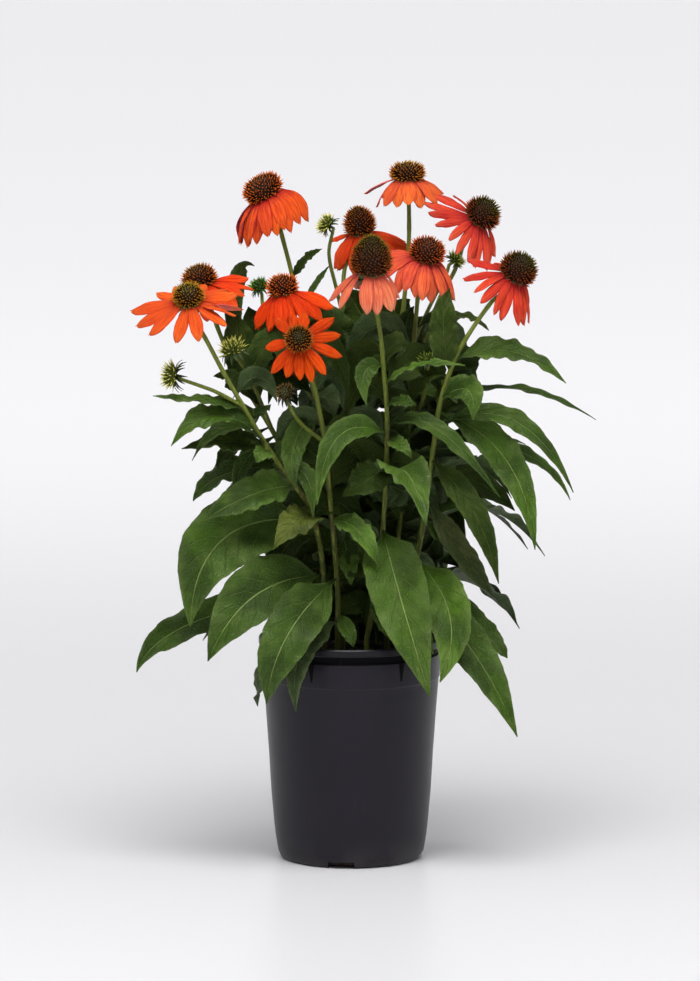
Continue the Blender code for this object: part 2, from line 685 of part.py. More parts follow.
def make_petals(key, group):
    """A bloom's petals in two layers, each grown from one side of the disc that carries them."""
    centre, facing, (radius, height), (count, length, width, rise, hang) = BLOOMS[key]
    axis, hub = flower_frame(centre, facing, height)
    first, second = across(axis)
    hub_radius = radius * HUB_SHARE
    bm = bmesh.new()
    tops, feet = [], []
    for i in range(count):
        turn = 2 * math.pi * i / count
        rim = hub + (first * math.cos(turn) + second * math.sin(turn)) * hub_radius
        tops.append(bm.verts.new(rim))
        feet.append(bm.verts.new(rim - axis * HUB_HEIGHT))
    bm.faces.new(tops)
    bm.faces.new(feet)
    for i in range(count):
        turn = 2 * math.pi * (i + 0.5) / count
        radial = first * math.cos(turn) + second * math.sin(turn)
        reach = length * (1 + 0.06 * math.sin(5.3 * i + 1.7 * count))
        rows = petal_points(hub, axis, radial, hub_radius, i % 2, reach, width, rise, hang)
        following = (i + 1) % count
        corners = (tops[i], tops[following], feet[i], feet[following])
        grow_petal(bm, corners, rows)
    return from_bmesh("petals_" + key, bm, group)


def make_bud(number, group):
    """A closed bud: a small dome of pointed scales."""
    _, _, _, centre, facing, (radius, height) = BUDS[number]
    name = "bud_%d" % (number + 1)
    return make_cone(name, centre, facing, radius, height, BUD_SPIKE, group, around=10, rings=5)


def stalk_path(number, paths):
    """A bud's stalk, from its stem to just under the bud."""
    stem, z, points, centre, facing, (_, height) = BUDS[number]
    axis, foot = flower_frame(centre, facing, height)
    root = at_height(paths[stem], z)
    return smooth_path([root] + points + [foot - axis * 5], 12) + [foot - axis * GAP]


def main():
    clear_scene()
    plant = new_collection("coneflower")
    cutters = new_collection("cutters")
    green = make_material("stem_and_leaf", (0.10, 0.18, 0.05), 0.55)
    orange = make_material("petal", (0.85, 0.13, 0.02), 0.6)
    brown = make_material("cone", (0.20, 0.07, 0.02), 0.7)
    lime = make_material("bud", (0.28, 0.34, 0.08), 0.6)
    black = make_material("pot", (0.02, 0.02, 0.022), 0.45)
    peat = make_material("soil", (0.035, 0.025, 0.018), 0.95)

    pot = make_pot(plant, cutters)
    pot.data.materials.append(black)
    soil = make_soil(plant, cutters)
    soil.data.materials.append(peat)

    paths = {key: stem_path(key) for key in STEMS}
    trees = [("", object_tree(pot)), ("", object_tree(soil))]
    stems = {}
    for key in STEMS:
        petals = make_petals(key, plant)
        petals.data.materials.append(orange)
        centre, facing, (radius, height), _ = BLOOMS[key]
        cone = make_cone("cone_" + key, centre, facing, radius, height, CONE_SPIKE, plant)
        cone.data.materials.append(brown)
        cup = radius * CALYX_SHARE
        stem = tube("stem_" + key, stem_rings(paths[key]), STEM_RADIUS, NECK_RADIUS, plant, cup)
        pieces = []
        for number, bud in enumerate(BUDS):
            if bud[0] == key:
                path = stalk_path(number, paths)
                path = thinned(path[:-1], STALK_RINGS) + path[-1:]
                thick = STALK_RADIUS + STALK_SWELL
                pieces.append(tube("stalk_%d" % number, path, thick, STALK_RADIUS, plant))
                knob = make_bud(number, plant)
                knob.data.materials.append(lime)
                trees.append(("", object_tree(knob)))
        trees.extend(("", object_tree(thing)) for thing in (petals, cone))
        trees.extend((key + " tube", object_tree(thing)) for thing in [stem] + pieces)
        stems[key] = (stem, pieces)

    # Leaves are set in order, each clear of all that stands already except its own stem
    rows_of_leaves = []
    for key, z, middle, tip, width, roll in LEAVES:
        root = at_height(paths[key], z)
        rows_of_leaves.append((key, root, Vector(middle), Vector(tip), width, roll, VIEWER))
    for key, places in BACK_LEAVES.items():
        for z, angle in places:
            root = at_height(paths[key], z)
            middle, tip, width, face = back_leaf(root, z, angle)
            rows_of_leaves.append((key, root, middle, tip, width, BACK_ROLL, face))
    for number, (key, root, middle, tip, width, roll, face) in enumerate(rows_of_leaves):
        others = [tree for home, tree in trees if home not in (key, key + " tube")]
        own = [tree for home, tree in trees if home == key]
        turn = math.radians(roll)
        found = bent_clear(root, middle, tip, width, turn, face, number, others, own)
        if found is None:
            continue
        points, rows = found
        leaf = solid_blade("leaf_%d" % number, points, leaf_faces(rows), plant)
        trees.append((key, object_tree(leaf)))
        stems[key][1].append(leaf)

    for stem, pieces in stems.values():
        join_by_boolean(stem, pieces)
        stem.data.materials.clear()
        stem.data.materials.append(green)
    bpy.data.collections.remove(cutters)


main()
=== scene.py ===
"""Orange coneflower in a black nursery pot: eleven flowering stems with their leaves and buds, dressed
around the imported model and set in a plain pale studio."""

import math
import random

import bmesh
import bpy
import numpy as np
from mathutils import Matrix, Vector
from mathutils.kdtree import KDTree


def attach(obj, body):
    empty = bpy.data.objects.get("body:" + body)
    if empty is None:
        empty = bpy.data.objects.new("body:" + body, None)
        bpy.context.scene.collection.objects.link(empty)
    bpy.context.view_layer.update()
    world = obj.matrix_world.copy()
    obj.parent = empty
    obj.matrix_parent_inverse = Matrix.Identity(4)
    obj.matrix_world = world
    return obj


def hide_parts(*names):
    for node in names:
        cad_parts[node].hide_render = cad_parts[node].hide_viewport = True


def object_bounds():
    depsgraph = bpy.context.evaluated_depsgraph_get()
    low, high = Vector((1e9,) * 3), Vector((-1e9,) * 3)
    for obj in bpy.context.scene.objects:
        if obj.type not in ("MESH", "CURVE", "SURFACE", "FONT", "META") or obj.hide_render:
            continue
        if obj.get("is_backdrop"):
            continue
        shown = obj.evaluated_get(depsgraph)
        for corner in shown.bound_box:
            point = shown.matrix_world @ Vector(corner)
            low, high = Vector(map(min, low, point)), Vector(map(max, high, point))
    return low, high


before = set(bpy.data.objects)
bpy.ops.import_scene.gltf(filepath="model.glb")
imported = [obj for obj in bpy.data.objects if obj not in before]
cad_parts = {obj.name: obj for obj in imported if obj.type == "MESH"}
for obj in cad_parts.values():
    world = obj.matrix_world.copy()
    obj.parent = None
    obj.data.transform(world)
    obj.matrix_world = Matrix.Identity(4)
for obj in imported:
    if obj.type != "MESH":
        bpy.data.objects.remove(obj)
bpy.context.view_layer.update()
bpy.ops.object.select_all(action="DESELECT")

# Pot
# One moulded black plastic nursery pot: a tapered wall with a step ring, a recessed band under the rim
# strip, six stacking ribs under the ledge and four drain notches at the foot. It stands on its underside.
MM = 0.001
POT_SIDES = 96
POT_EDGE = 0.35
POT_PROFILE = [
    (60.8, 0), (62.8, 0.5), (63.9, 1.6), (65.8, 6), (66.9, 12), (68.5, 22), (69.6, 32), (72.2, 62),
    (73.2, 79), (74.2, 97), (76.8, 134), (78.1, 150), (78.8, 158), (79.2, 164.8), (79.4, 165.4),
    (80.0, 166.0), (80.1, 168.5), (80.6, 180), (81, 187.5), (80.6, 188), (79.2, 188.1), (79.1, 191),
    (79.3, 194.6), (82.3, 194.9), (83.3, 195.8), (83.3, 200.8), (82.6, 201.8), (81.6, 202), (81.2, 201.4),
    (80.9, 197.5), (77.9, 193), (77.4, 180), (76.2, 150), (65.2, 22), (62, 5), (59, 2.2),
]
RIB_COUNT = 6
RIB_TURN = -56.0
RIB_TOP = 187.4
RIB_FOOT = 171.0
RIB_OUT = 81.8
RIB_TAPER = 0.9
RIB_DEPTH = 3.4
RIB_HALF_TOP = 2.6
RIB_HALF_FOOT = 0.6
BAR_TURN = -97.0
BAR_REACH = (79.0, 80.2)
BAR_HEIGHTS = (187.8, 195.3)
NOTCH_COUNT = 4
NOTCH_TURN = -98.0
NOTCH_OUT = 60.0
NOTCH_HALF = (8.0, 12.0, 6.0)


def picked(test):
    """Select, in the mesh being edited, the vertices that pass a test, and what they bound."""
    bm = bmesh.from_edit_mesh(bpy.context.edit_object.data)
    bm.select_mode = {"VERT"}
    for vert in bm.verts:
        vert.select = test(vert.co)
    bm.select_flush_mode()
    bmesh.update_edit_mesh(bpy.context.edit_object.data)


def drawn_up(levels, unit):
    """Draw the selected ring up through the other levels, each a radius and a height in one unit."""
    for (radius, height), (new_radius, new_height) in zip(levels, levels[1:]):
        rise = (new_height - height) * unit
        grow = new_radius / radius
        bpy.ops.mesh.extrude_region_move(TRANSFORM_OT_translate={"value": (0, 0, rise)})
        bpy.ops.transform.resize(value=(grow, grow, 1), center_override=(0, 0, new_height * unit))


def made_consistent():
    """Turn every face of the mesh being edited outwards and leave edit mode."""
    bpy.ops.mesh.select_all(action="SELECT")
    bpy.ops.mesh.normals_make_consistent(inside=False)
    bpy.ops.object.mode_set(mode="OBJECT")


def turned_wall(name, profile, sides):
    """A closed wall drawn up from a ring, (radius, height) by (radius, height) in millimetres."""
    radius, height = profile[0]
    bpy.ops.mesh.primitive_circle_add(vertices=sides, radius=radius * MM, location=(0, 0, height * MM))
    wall = bpy.context.object
    wall.name = name
    bpy.ops.object.transform_apply(location=True, rotation=True, scale=True)
    bpy.ops.object.mode_set(mode="EDIT")
    bpy.ops.mesh.select_all(action="SELECT")
    drawn_up(profile, MM)
    bpy.ops.mesh.edge_face_add()
    picked(lambda co: abs(co.z - height * MM) < 1e-6 and abs(co.xy.length - radius * MM) < 1e-5)
    bpy.ops.mesh.edge_face_add()
    made_consistent()
    return wall


def alone(piece):
    """Make a piece the one that is selected and active."""
    bpy.ops.object.select_all(action="DESELECT")
    piece.select_set(True)
    bpy.context.view_layer.objects.active = piece


def worked(piece, kind, **settings):
    """Give a piece a modifier with its settings and apply it."""
    change = piece.modifiers.new("change", kind)
    for label, value in settings.items():
        setattr(change, label, value)
    alone(piece)
    bpy.ops.object.modifier_apply(modifier="change")


def cut_or_join(piece, other, operation):
    """Cut another piece out of this one or join it on, and remove the other."""
    worked(piece, "BOOLEAN", operation=operation, solver="EXACT", object=other)
    bpy.data.objects.remove(other, do_unlink=True)


def joined(pieces, name):
    """Several pieces made one, with its place in its mesh."""
    bpy.ops.object.select_all(action="DESELECT")
    for piece in pieces:
        piece.select_set(True)
    bpy.context.view_layer.objects.active = pieces[0]
    if len(pieces) > 1:
        bpy.ops.object.join()
    whole = bpy.context.object
    whole.name = name
    bpy.ops.object.transform_apply(location=True, rotation=True, scale=True)
    return whole


def blocks_round(corner, first, count):
    """One block, its corners placed by which sides they are on, repeated evenly round the pot as a piece."""
    bpy.ops.mesh.primitive_cube_add(size=2)
    block = bpy.context.object
    for vert in block.data.vertices:
        vert.co = Vector(corner(*vert.co)) * MM
    copies = []
    for number in range(count):
        copy = block.copy()
        copy.data = block.data.copy()
        copy.data.transform(Matrix.Rotation(math.radians(first + 360 / count * number), 4, "Z"))
        bpy.context.collection.objects.link(copy)
        copies.append(copy)
    bpy.data.objects.remove(block, do_unlink=True)
    return joined(copies, "blocks")


def rib_corner(out, side, up):
    """A corner of a stacking rib, which tapers down and leans in to the wall."""
    reach = RIB_OUT - (RIB_DEPTH if out < 0 else 0 if up > 0 else RIB_TAPER)
    return reach, side * (RIB_HALF_TOP if up > 0 else RIB_HALF_FOOT), RIB_TOP if up > 0 else RIB_FOOT


pot = turned_wall("nursery_pot", POT_PROFILE, POT_SIDES)
cut_or_join(pot, blocks_round(rib_corner, RIB_TURN, RIB_COUNT), "UNION")
bar = blocks_round(lambda out, side, up: (BAR_REACH[out > 0], side, BAR_HEIGHTS[up > 0]), BAR_TURN, 1)
cut_or_join(pot, bar, "UNION")
notches = blocks_round(
    lambda out, side, up: (NOTCH_OUT + out * NOTCH_HALF[0], side * NOTCH_HALF[1], up * NOTCH_HALF[2]),
    NOTCH_TURN, NOTCH_COUNT)
cut_or_join(pot, notches, "DIFFERENCE")
worked(pot, "BEVEL", width=POT_EDGE * MM, segments=2, limit_method="ANGLE", angle_limit=math.radians(35))
bpy.ops.object.shade_smooth_by_angle(angle=math.radians(32))


class Surface:
    """Nodes added one at a time to a tree, each mostly giving back its result."""

    def __init__(self, tree):
        self.tree = tree

    def put(self, value, socket):
        """Link a result to an input, or set a value on it; a colour may leave out its alpha."""
        if isinstance(value, bpy.types.NodeSocket):
            self.tree.links.new(value, socket)
        elif socket.type == "RGBA":
            socket.default_value = (*value[:3], 1)
        else:
            socket.default_value = value

    def node(self, kind, settings=None, **inputs):
        """A node with its settings, and its inputs named by label or number."""
        node = self.tree.nodes.new("ShaderNode" + kind)
        for label, value in (settings or {}).items():
            setattr(node, label, value)
        for label, value in inputs.items():
            key = int(label[1:]) if label[1:].isdigit() else label.replace("_", " ")
            self.put(value, node.inputs[key])
        return node

    def sum(self, operation, *values, limit=False):
        """The result of one sum on its values."""
        inputs = {"_%d" % number: value for number, value in enumerate(values)}
        return self.node("Math", {"operation": operation, "use_clamp": limit}, **inputs).outputs[0]

    def times(self, a, b):
        """One value times another."""
        return self.sum("MULTIPLY", a, b)

    def off(self, a, b):
        """How far one value is from another."""
        return self.sum("ABSOLUTE", self.sum("SUBTRACT", a, b))

    def mix(self, share, a, b):
        """Two colours mixed by a share."""
        return self.node("Mix", {"data_type": "RGBA"}, _0=share, _6=a, _7=b).outputs[2]

    def laid_over(self, colour, *layers):
        """A colour with others laid over it, each with its share and the most of it that shows."""
        for share, most, tint in layers:
            colour = self.mix(self.times(share, most), colour, tint)
        return colour

    def ramp(self, value, low, high):
        """A value stretched so that low gives 0 and high gives 1."""
        smooth = {"interpolation_type": "SMOOTHSTEP"}
        return self.node("MapRange", smooth, Value=value, From_Min=low, From_Max=high).outputs[0]

    def spot(self):
        """Where a point of the piece is."""
        return self.node("TexCoord").outputs["Object"]

    def height(self, spot):
        """How high a point of the piece is."""
        return self.node("SeparateXYZ", _0=spot).outputs[2]

    def noise(self, spot, scale, detail):
        """Soft random patches."""
        return self.node("TexNoise", Vector=spot, Scale=scale, Detail=detail).outputs[0]

    def streaks(self, spot, scale, detail):
        """Random patches drawn out by a scale for each direction."""
        return self.noise(self.node("Mapping", Vector=spot, Scale=scale).outputs[0], 1.0, detail)

    def tag(self, label):
        """A value that each point of the piece carries."""
        return self.node("Attribute", {"attribute_name": label}).outputs["Fac"]

    def on_blade(self):
        """How far across and along its own blade a point is."""
        return self.node("SeparateXYZ", _0=self.node("UVMap", {"uv_map": "UVMap"}).outputs[0]).outputs


class Finish(Surface):
    """A material, with its shader's inputs."""

    def __init__(self, name, **inputs):
        self.material = bpy.data.materials.new(name)
        self.material.use_nodes = True
        super().__init__(self.material.node_tree)
        self.give(**inputs)

    def give(self, **inputs):
        """Link or set inputs of the shader."""
        for label, value in inputs.items():
            self.put(value, self.tree.nodes["Principled BSDF"].inputs[label.replace("_", " ")])

    def bump(self, relief, strength, distance):
        """Raise the surface by a relief."""
        raised = self.node("Bump", Height=relief, Strength=strength, Distance=distance)
        self.give(Normal=raised.outputs[0])

    def face(self, effect, **colours):
        """What a shared effect gives for this material's colours."""
        return self.node("Group", {"node_tree": effect.tree}, **colours).outputs


class Effect(Surface):
    """An effect that several materials share: it is given colours and gives colours and values."""

    def __init__(self, name, colours, values):
        super().__init__(bpy.data.node_groups.new(name, "ShaderNodeTree"))
        sockets = self.tree.interface
        for label in colours:
            sockets.new_socket(label, in_out="INPUT", socket_type="NodeSocketColor")
        sockets.new_socket("Colour", in_out="OUTPUT", socket_type="NodeSocketColor")
        for label in values:
            sockets.new_socket(label, in_out="OUTPUT", socket_type="NodeSocketFloat")
        self.given = self.tree.nodes.new("NodeGroupInput").outputs
        self.gives = self.tree.nodes.new("NodeGroupOutput").inputs


plastic = Finish("pot_plastic", Specular_IOR_Level=0.24)
spot = plastic.spot()
height = plastic.height(spot)
cloud = plastic.noise(spot, 26.0, 5.0)
scuffs = plastic.ramp(plastic.streaks(spot, (260, 260, 14), 4.0), 0.6, 0.78)
scuffs = plastic.times(scuffs, plastic.ramp(cloud, 0.45, 0.7))
dust = plastic.times(plastic.ramp(height, 0.03, 0.0), plastic.ramp(cloud, 0.35, 0.65))
black = plastic.mix(cloud, (0.0076, 0.0062, 0.011), (0.0106, 0.0088, 0.0148))
# Painted shade: above 186 mm the plastic is darkened towards black, standing in for the shade under the rim and
# leaves
black = plastic.mix(plastic.times(plastic.ramp(height, 0.186, 0.19), 0.6), black, (0.003, 0.003, 0.003))
worn = plastic.mix(plastic.times(scuffs, 0.3), black, (0.04, 0.038, 0.042))
dull = plastic.sum("MULTIPLY_ADD", cloud, 0.12, 0.3)
plastic.give(
    Base_Color=plastic.mix(plastic.times(dust, 0.3), worn, (0.06, 0.055, 0.05)),
    Roughness=plastic.sum("ADD", dull, plastic.times(scuffs, 0.18), limit=True))
grain = plastic.times(plastic.noise(spot, 900.0, 3.0), 0.12)
hills = plastic.times(plastic.noise(spot, 45.0, 1.0), 0.9)
plastic.bump(plastic.sum("ADD", grain, hills), 0.35, 0.0006)

# Painted shade: a darker copy of the plastic, with little shine, on the recess under the rim and on the
# ribs, standing in for the shade that falls there
recess_shade = Finish("pot_recess_painted_shade", Specular_IOR_Level=0.04)
cloud = recess_shade.noise(recess_shade.spot(), 40.0, 5.0)
recess_shade.give(
    Base_Color=recess_shade.mix(cloud, (0.003, 0.003, 0.0035), (0.007, 0.0065, 0.008)),
    Roughness=recess_shade.ramp(cloud, -0.5, 1.2))
pot.data.materials.append(plastic.material)
pot.data.materials.append(recess_shade.material)
for face in pot.data.polygons:
    out = face.center.xy.length / MM
    up = face.center.z / MM
    in_recess = RIB_TOP + 0.3 < up < BAR_HEIGHTS[1] - 0.2 and out > BAR_REACH[0] - 0.2
    on_rib = RIB_FOOT - 0.5 < up < RIB_TOP + 0.3 and out > 80.3 + 0.0474 * (up - 168.5)
    # Faces in the recess band and on the ribs take the painted shade
    face.material_index = int(in_recess or on_rib)
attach(pot, "root")
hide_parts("pot")

# Soil
# Dark loose potting mix that fills the pot to just under its rim, with coarse bark crumbs and a few pale
# grains lying on it. The stems come up out of it.
SOIL_PROFILE = [
    (61, 2.6), (65, 22), (75.6, 150), (75.4, 183.6), (68, 186), (58, 187.4), (48, 188.6), (38, 189.4),
    (28, 190.0), (18, 190.5), (8, 190.8),
]
SOIL_SIDES = 72
SOIL_SHOULDER = 183.2
SOIL_LOOSE = 74.5
CRUMBS = 900
CRUMB_SIZES = (0.8, 1.1, 1.4, 2.0, 2.8)
CRUMBS_OUT = 74
CRUMBS_UP = 190.6
CRUMBS_FALL = 0.0012


def gathered(name, template, placed, tags=None):
    """Copies of one small mesh gathered in a piece, each with its own points, and tags along for shading."""
    count = len(placed)
    size = len(template.vertices)
    faces = [tuple(polygon.vertices) for polygon in template.polygons]
    every = []
    for number in range(count):
        every.extend(tuple(corner + number * size for corner in face) for face in faces)
    mesh = bpy.data.meshes.new(name)
    mesh.from_pydata(np.concatenate(placed).astype(float), [], every)
    if template.uv_layers:
        flat = np.zeros(len(template.loops) * 2, np.float32)
        template.uv_layers[0].data.foreach_get("uv", flat)
        mesh.uv_layers.new(name="UVMap").data.foreach_set("uv", np.tile(flat, count))
    for label, values in (tags or {}).items():
        held = mesh.attributes.new(label, "FLOAT", "POINT")
        held.data.foreach_set("value", np.concatenate(values).astype(np.float32))
    piece = bpy.data.objects.new(name, mesh)
    bpy.context.collection.objects.link(piece)
    return piece


def points_of(mesh):
    """A mesh's vertices as an array."""
    flat = np.zeros(len(mesh.vertices) * 3)
    mesh.vertices.foreach_get("co", flat)
    return flat.reshape(-1, 3)


soil = turned_wall("potting_mix", SOIL_PROFILE, SOIL_SIDES)
bpy.ops.object.mode_set(mode="EDIT")
picked(lambda co: co.z > SOIL_SHOULDER * MM)
bpy.ops.mesh.quads_convert_to_tris()
bpy.ops.mesh.subdivide(number_cuts=1)
bpy.ops.object.mode_set(mode="OBJECT")
chance = random.Random(3)
for vert in soil.data.vertices:
    if vert.co.z > (SOIL_SHOULDER + 0.8) * MM and vert.co.xy.length < SOIL_LOOSE * MM:
        vert.co.z += chance.uniform(-1.2, 0.9) * MM
bpy.ops.object.shade_smooth()

bpy.ops.mesh.primitive_ico_sphere_add(subdivisions=1, radius=1)
crumb = bpy.context.object
crumb_mesh = crumb.data
crumb_points = points_of(crumb_mesh)
crumbs, tones = [], []
for number in range(CRUMBS):
    turn = chance.uniform(0, 2 * math.pi)
    out = CRUMBS_OUT * math.sqrt(chance.random())
    size = chance.choice(CRUMB_SIZES)
    stretch = np.array([chance.uniform(0.6, 1.5), chance.uniform(0.6, 1.2), chance.uniform(0.35, 0.8)])
    spin = Matrix.Rotation(chance.uniform(0, math.pi), 3, "Z")
    spin = np.array(spin @ Matrix.Rotation(chance.uniform(-0.5, 0.5), 3, "X"))
    jitter = np.array([[chance.uniform(0.8, 1.2)] for _ in crumb_points])
    place = np.array([out * math.cos(turn), out * math.sin(turn), CRUMBS_UP - CRUMBS_FALL * out * out])
    crumbs.append(((crumb_points * jitter * stretch * size) @ spin.T + place) * MM)
    tones.append(np.full(len(crumb_points), chance.random()))
bpy.data.objects.remove(crumb, do_unlink=True)
crumb_piece = gathered("soil_crumbs", crumb_mesh, crumbs, {"tone": tones})

peat = Finish("potting_mix", Roughness=0.95, Specular_IOR_Level=0.2)
coarse = peat.noise(peat.spot(), 240.0, 6.0)
peat.give(Base_Color=peat.mix(peat.ramp(coarse, 0.35, 0.7), (0.006, 0.0045, 0.0035), (0.035, 0.024, 0.016)))
peat.bump(coarse, 0.9, 0.0015)
soil.data.materials.append(peat.material)

bark = Finish("bark_crumbs", Roughness=0.9)
fine = bark.noise(bark.spot(), 700.0, 4.0)
tone = bark.tag("tone")
brown = bark.mix(tone, (0.008, 0.006, 0.004), (0.06, 0.038, 0.022))
pale = bark.mix(bark.ramp(tone, 0.965, 0.97), brown, (0.45, 0.43, 0.4))
bark.give(Base_Color=bark.mix(bark.times(fine, 0.6), pale, (0.01, 0.008, 0.006)))
bark.bump(fine, 0.6, 0.0005)
crumb_piece.data.materials.append(bark.material)
for piece in (soil, crumb_piece):
    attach(piece, "root")
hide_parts("soil")

# Flowering stems
# Eleven stiff upright stems, olive green, finely ribbed and a little rough, thickest at the soil. Each
# bends out from the clump to its bloom and widens under it; the stalks of side buds grow from some.
STEM_RADIUS = 2.6
NECK_RADIUS = 1.9
STALK_RADIUS = 1.5
STALK_SWELL = 0.35
STEM_COLLAR = 194.0
STEM_FOOT = 168.0
STEM_STEPS = 60
STEM_THIN = 0.97
JOINT_SWELL = 0.16
JOINT_STEP = 1.05
HUB_HEIGHT = 4.0
CALYX_HEIGHT = 6.0
CALYX_SHARE = 0.52
GAP = 0.3

# Where each stem stands in the soil, then the points it passes on its way up
STEMS = {
    "a": ((-12, 14), [
        (-6, 12, 269), (-15, 10, 342), (-28, 10, 415), (-42, 14, 478), (-54, 18, 531), (-63, 18, 566),
    ]),
    "b": ((-28, 6), [(-30, -8, 272), (-44, -22, 337), (-68, -30, 388), (-95, -28, 433), (-115, -22, 473)]),
    "c": ((-24, -14), [
        (-26, -30, 275), (-37, -48, 325), (-54, -58, 352), (-74, -68, 382), (-94, -75, 417),
        (-114, -80, 453), (-133, -84, 489),
    ]),
    "d": ((-8, -6), [(-10, -12, 291), (-19, -18, 364), (-30, -26, 415), (-45, -36, 465)]),
    "e": ((-12, -30), [(-12, -32, 248), (-17, -42, 313), (-24, -56, 387), (-30, -64, 424), (-38, -70, 455)]),
    "f": ((4, 32), [(5, 36, 302), (3, 50, 382), (-3, 65, 444), (-7, 80, 497), (-4, 88, 531)]),
    "g": ((14, -24), [(24, -28, 257), (30, -34, 330), (32, -46, 404), (29, -56, 450), (24, -66, 496)]),
    "h": ((24, 22), [
        (33, 26, 303), (39, 34, 393), (43, 44, 456), (48, 50, 501), (52, 52, 550), (52, 50, 590),
    ]),
    "i": ((32, -2), [(44, -2, 307), (51, 0, 389), (55, 2, 447), (58, 0, 488)]),
    "j": ((42, 14), [
        (46, 16, 268), (55, 24, 358), (58, 32, 412), (61, 40, 452), (70, 48, 474), (80, 56, 501),
        (95, 54, 530),
    ]),
    "k": ((42, -20), [
        (62, -22, 292), (72, -28, 365), (79, -34, 416), (88, -38, 446), (99, -42, 471), (124, -48, 509),
    ]),
}

# Each bloom: middle of the cone, way it faces, cone radius and height
BLOOMS = {
    "a": ((-82, 20, 609), (-0.48, -0.15, 0.86), (18.5, 24)),
    "b": ((-137, -20, 532), (-0.35, -0.12, 0.93), (16.5, 22)),
    "c": ((-144, -92, 524), (-0.1, -0.42, 0.9), (16.5, 19)),
    "d": ((-62, -40, 527), (-0.2, -0.15, 0.97), (14.5, 20)),
    "e": ((-46, -112, 486), (0.0, -0.9, 0.43), (14.5, 18)),
    "f": ((7, 95, 570), (-0.12, -0.2, 0.97), (14.5, 27)),
    "g": ((18, -75, 557), (0.03, -0.2, 0.98), (18.5, 36)),
    "h": ((51, 50, 620), (0.0, -0.06, 1.0), (16, 19)),
    "i": ((69, -14, 555), (0.25, -0.25, 0.93), (16.5, 22)),
    "j": ((121, 34, 584), (0.55, -0.35, 0.75), (16.5, 24)),
    "k": ((151, -50, 543), (0.5, -0.35, 0.8), (17, 25)),
}

# Each bud: stem, height where the stalk leaves it, points of the stalk, middle, way it faces, then radius
# and height
BUDS = [
    ("d", 415, [(-66, 0, 462), (-79, 16, 498)], (-84, 22, 520), (-0.3, -0.2, 0.9), (8.5, 15)),
    ("f", 478, [(-13, 66, 508), (-20, 55, 542)], (-25, 50, 571), (-0.8, -0.2, 0.5), (9, 12)),
    ("i", 470, [(73, 38, 500), (86, 36, 526)], (97, 30, 541), (0.8, -0.1, 0.6), (7.5, 12)),
    ("c", 420, [(-120, -82, 434), (-136, -82, 440), (-153, -80, 446)], (-163, -80, 449),
     (-0.95, -0.2, 0.15), (11, 16)),
    ("b", 390, [(-90, -42, 442), (-100, -48, 458)], (-107, -50, 472), (-0.35, -0.2, 0.9), (11, 16)),
    ("e", 385, [(-45, -72, 405), (-56, -80, 424)], (-60, -85, 436), (-0.4, -0.6, 0.6), (10, 12)),
    ("j", 395, [(65, -10, 420), (69, -26, 446)], (69, -30, 460), (0.0, -0.1, 1.0), (9.5, 12)),
]
RIB_WAVES = 5
RIB_SWELL = 0.055
STALK_SIDES = 20


def smooth_path(points, count):
    """Points evenly spaced along a smooth curve through the given ones."""
    points = [Vector(p) for p in points]
    knots = [0.0]
    for a, b in zip(points, points[1:]):
        knots.append(knots[-1] + (b - a).length)
    slopes = []
    for i in range(len(points)):
        low, high = max(i - 1, 0), min(i + 1, len(points) - 1)
        slopes.append((points[high] - points[low]) / (knots[high] - knots[low]))
    path = []
    span = 0
    for step in range(count):
        s = knots[-1] * step / (count - 1)
        while span < len(points) - 2 and s > knots[span + 1]:
            span += 1
        width = knots[span + 1] - knots[span]
        t = (s - knots[span]) / width
        path.append(
            (2 * t**3 - 3 * t**2 + 1) * points[span]
            + (t**3 - 2 * t**2 + t) * width * slopes[span]
            + (3 * t**2 - 2 * t**3) * points[span + 1]
            + (t**3 - t**2) * width * slopes[span + 1]
        )
    return path


def flower_frame(centre, facing, height):
    """Axis of a bloom and the middle of its hub's top."""
    axis = Vector(facing).normalized()
    return axis, Vector(centre) - axis * height / 2


def stem_path(key):
    """The whole path of a stem, from the soil to the neck under its bloom and the cup's top."""
    (x, y), points = STEMS[key]
    centre, facing, (_, height) = BLOOMS[key]
    axis, hub = flower_frame(centre, facing, height)
    cup = hub - axis * (HUB_HEIGHT + GAP)
    neck = cup - axis * CALYX_HEIGHT
    route = [(x, y, STEM_COLLAR), (x, y, STEM_COLLAR + 8)] + points + [neck - axis * 9, neck]
    return [Vector((x, y, STEM_FOOT))] + smooth_path(route, STEM_STEPS) + [cup]


def at_height(path, z):
    """The point of a stem's path at a height."""
    for a, b in zip(path, path[1:]):
        if b.z >= z:
            return a.lerp(b, max(0.0, (z - a.z) / (b.z - a.z)))
    return path[-1]


def stalk_path(number):
    """A bud's stalk, from its stem to just under the bud."""
    stem, z, points, centre, facing, (_, height) = BUDS[number]
    axis, foot = flower_frame(centre, facing, height)
    root = at_height(paths[stem], z)
    return smooth_path([root] + points + [foot - axis * 5], 24) + [foot - axis * GAP]


def new_line(name, dimensions, places):
    """A curve straight from place to place, with its spline."""
    line = bpy.data.curves.new(name, "CURVE")
    line.dimensions = dimensions
    spline = line.splines.new("POLY")
    spline.points.add(len(places) - 1)
    for point, place in zip(spline.points, places):
        point.co = (*place, 1)
    drawn = bpy.data.objects.new(name, line)
    bpy.context.collection.objects.link(drawn)
    return drawn, spline


def ribbed_tube(name, path, radii, outline):
    """A tube of the outline's section along a path, its ends closed."""
    tube, spline = new_line(name, "3D", [place * MM for place in path])
    for point, radius in zip(spline.points, radii):
        point.radius = radius
    tube.data.bevel_mode = "OBJECT"
    tube.data.bevel_object = outline
    tube.data.use_fill_caps = True
    alone(tube)
    bpy.ops.object.convert(target="MESH")
    tube = bpy.context.object
    bpy.ops.object.mode_set(mode="EDIT")
    bpy.ops.mesh.select_all(action="SELECT")
    bpy.ops.mesh.remove_doubles(threshold=0.000005)
    made_consistent()
    bpy.ops.object.shade_smooth_by_angle(angle=math.radians(60))
    return tube


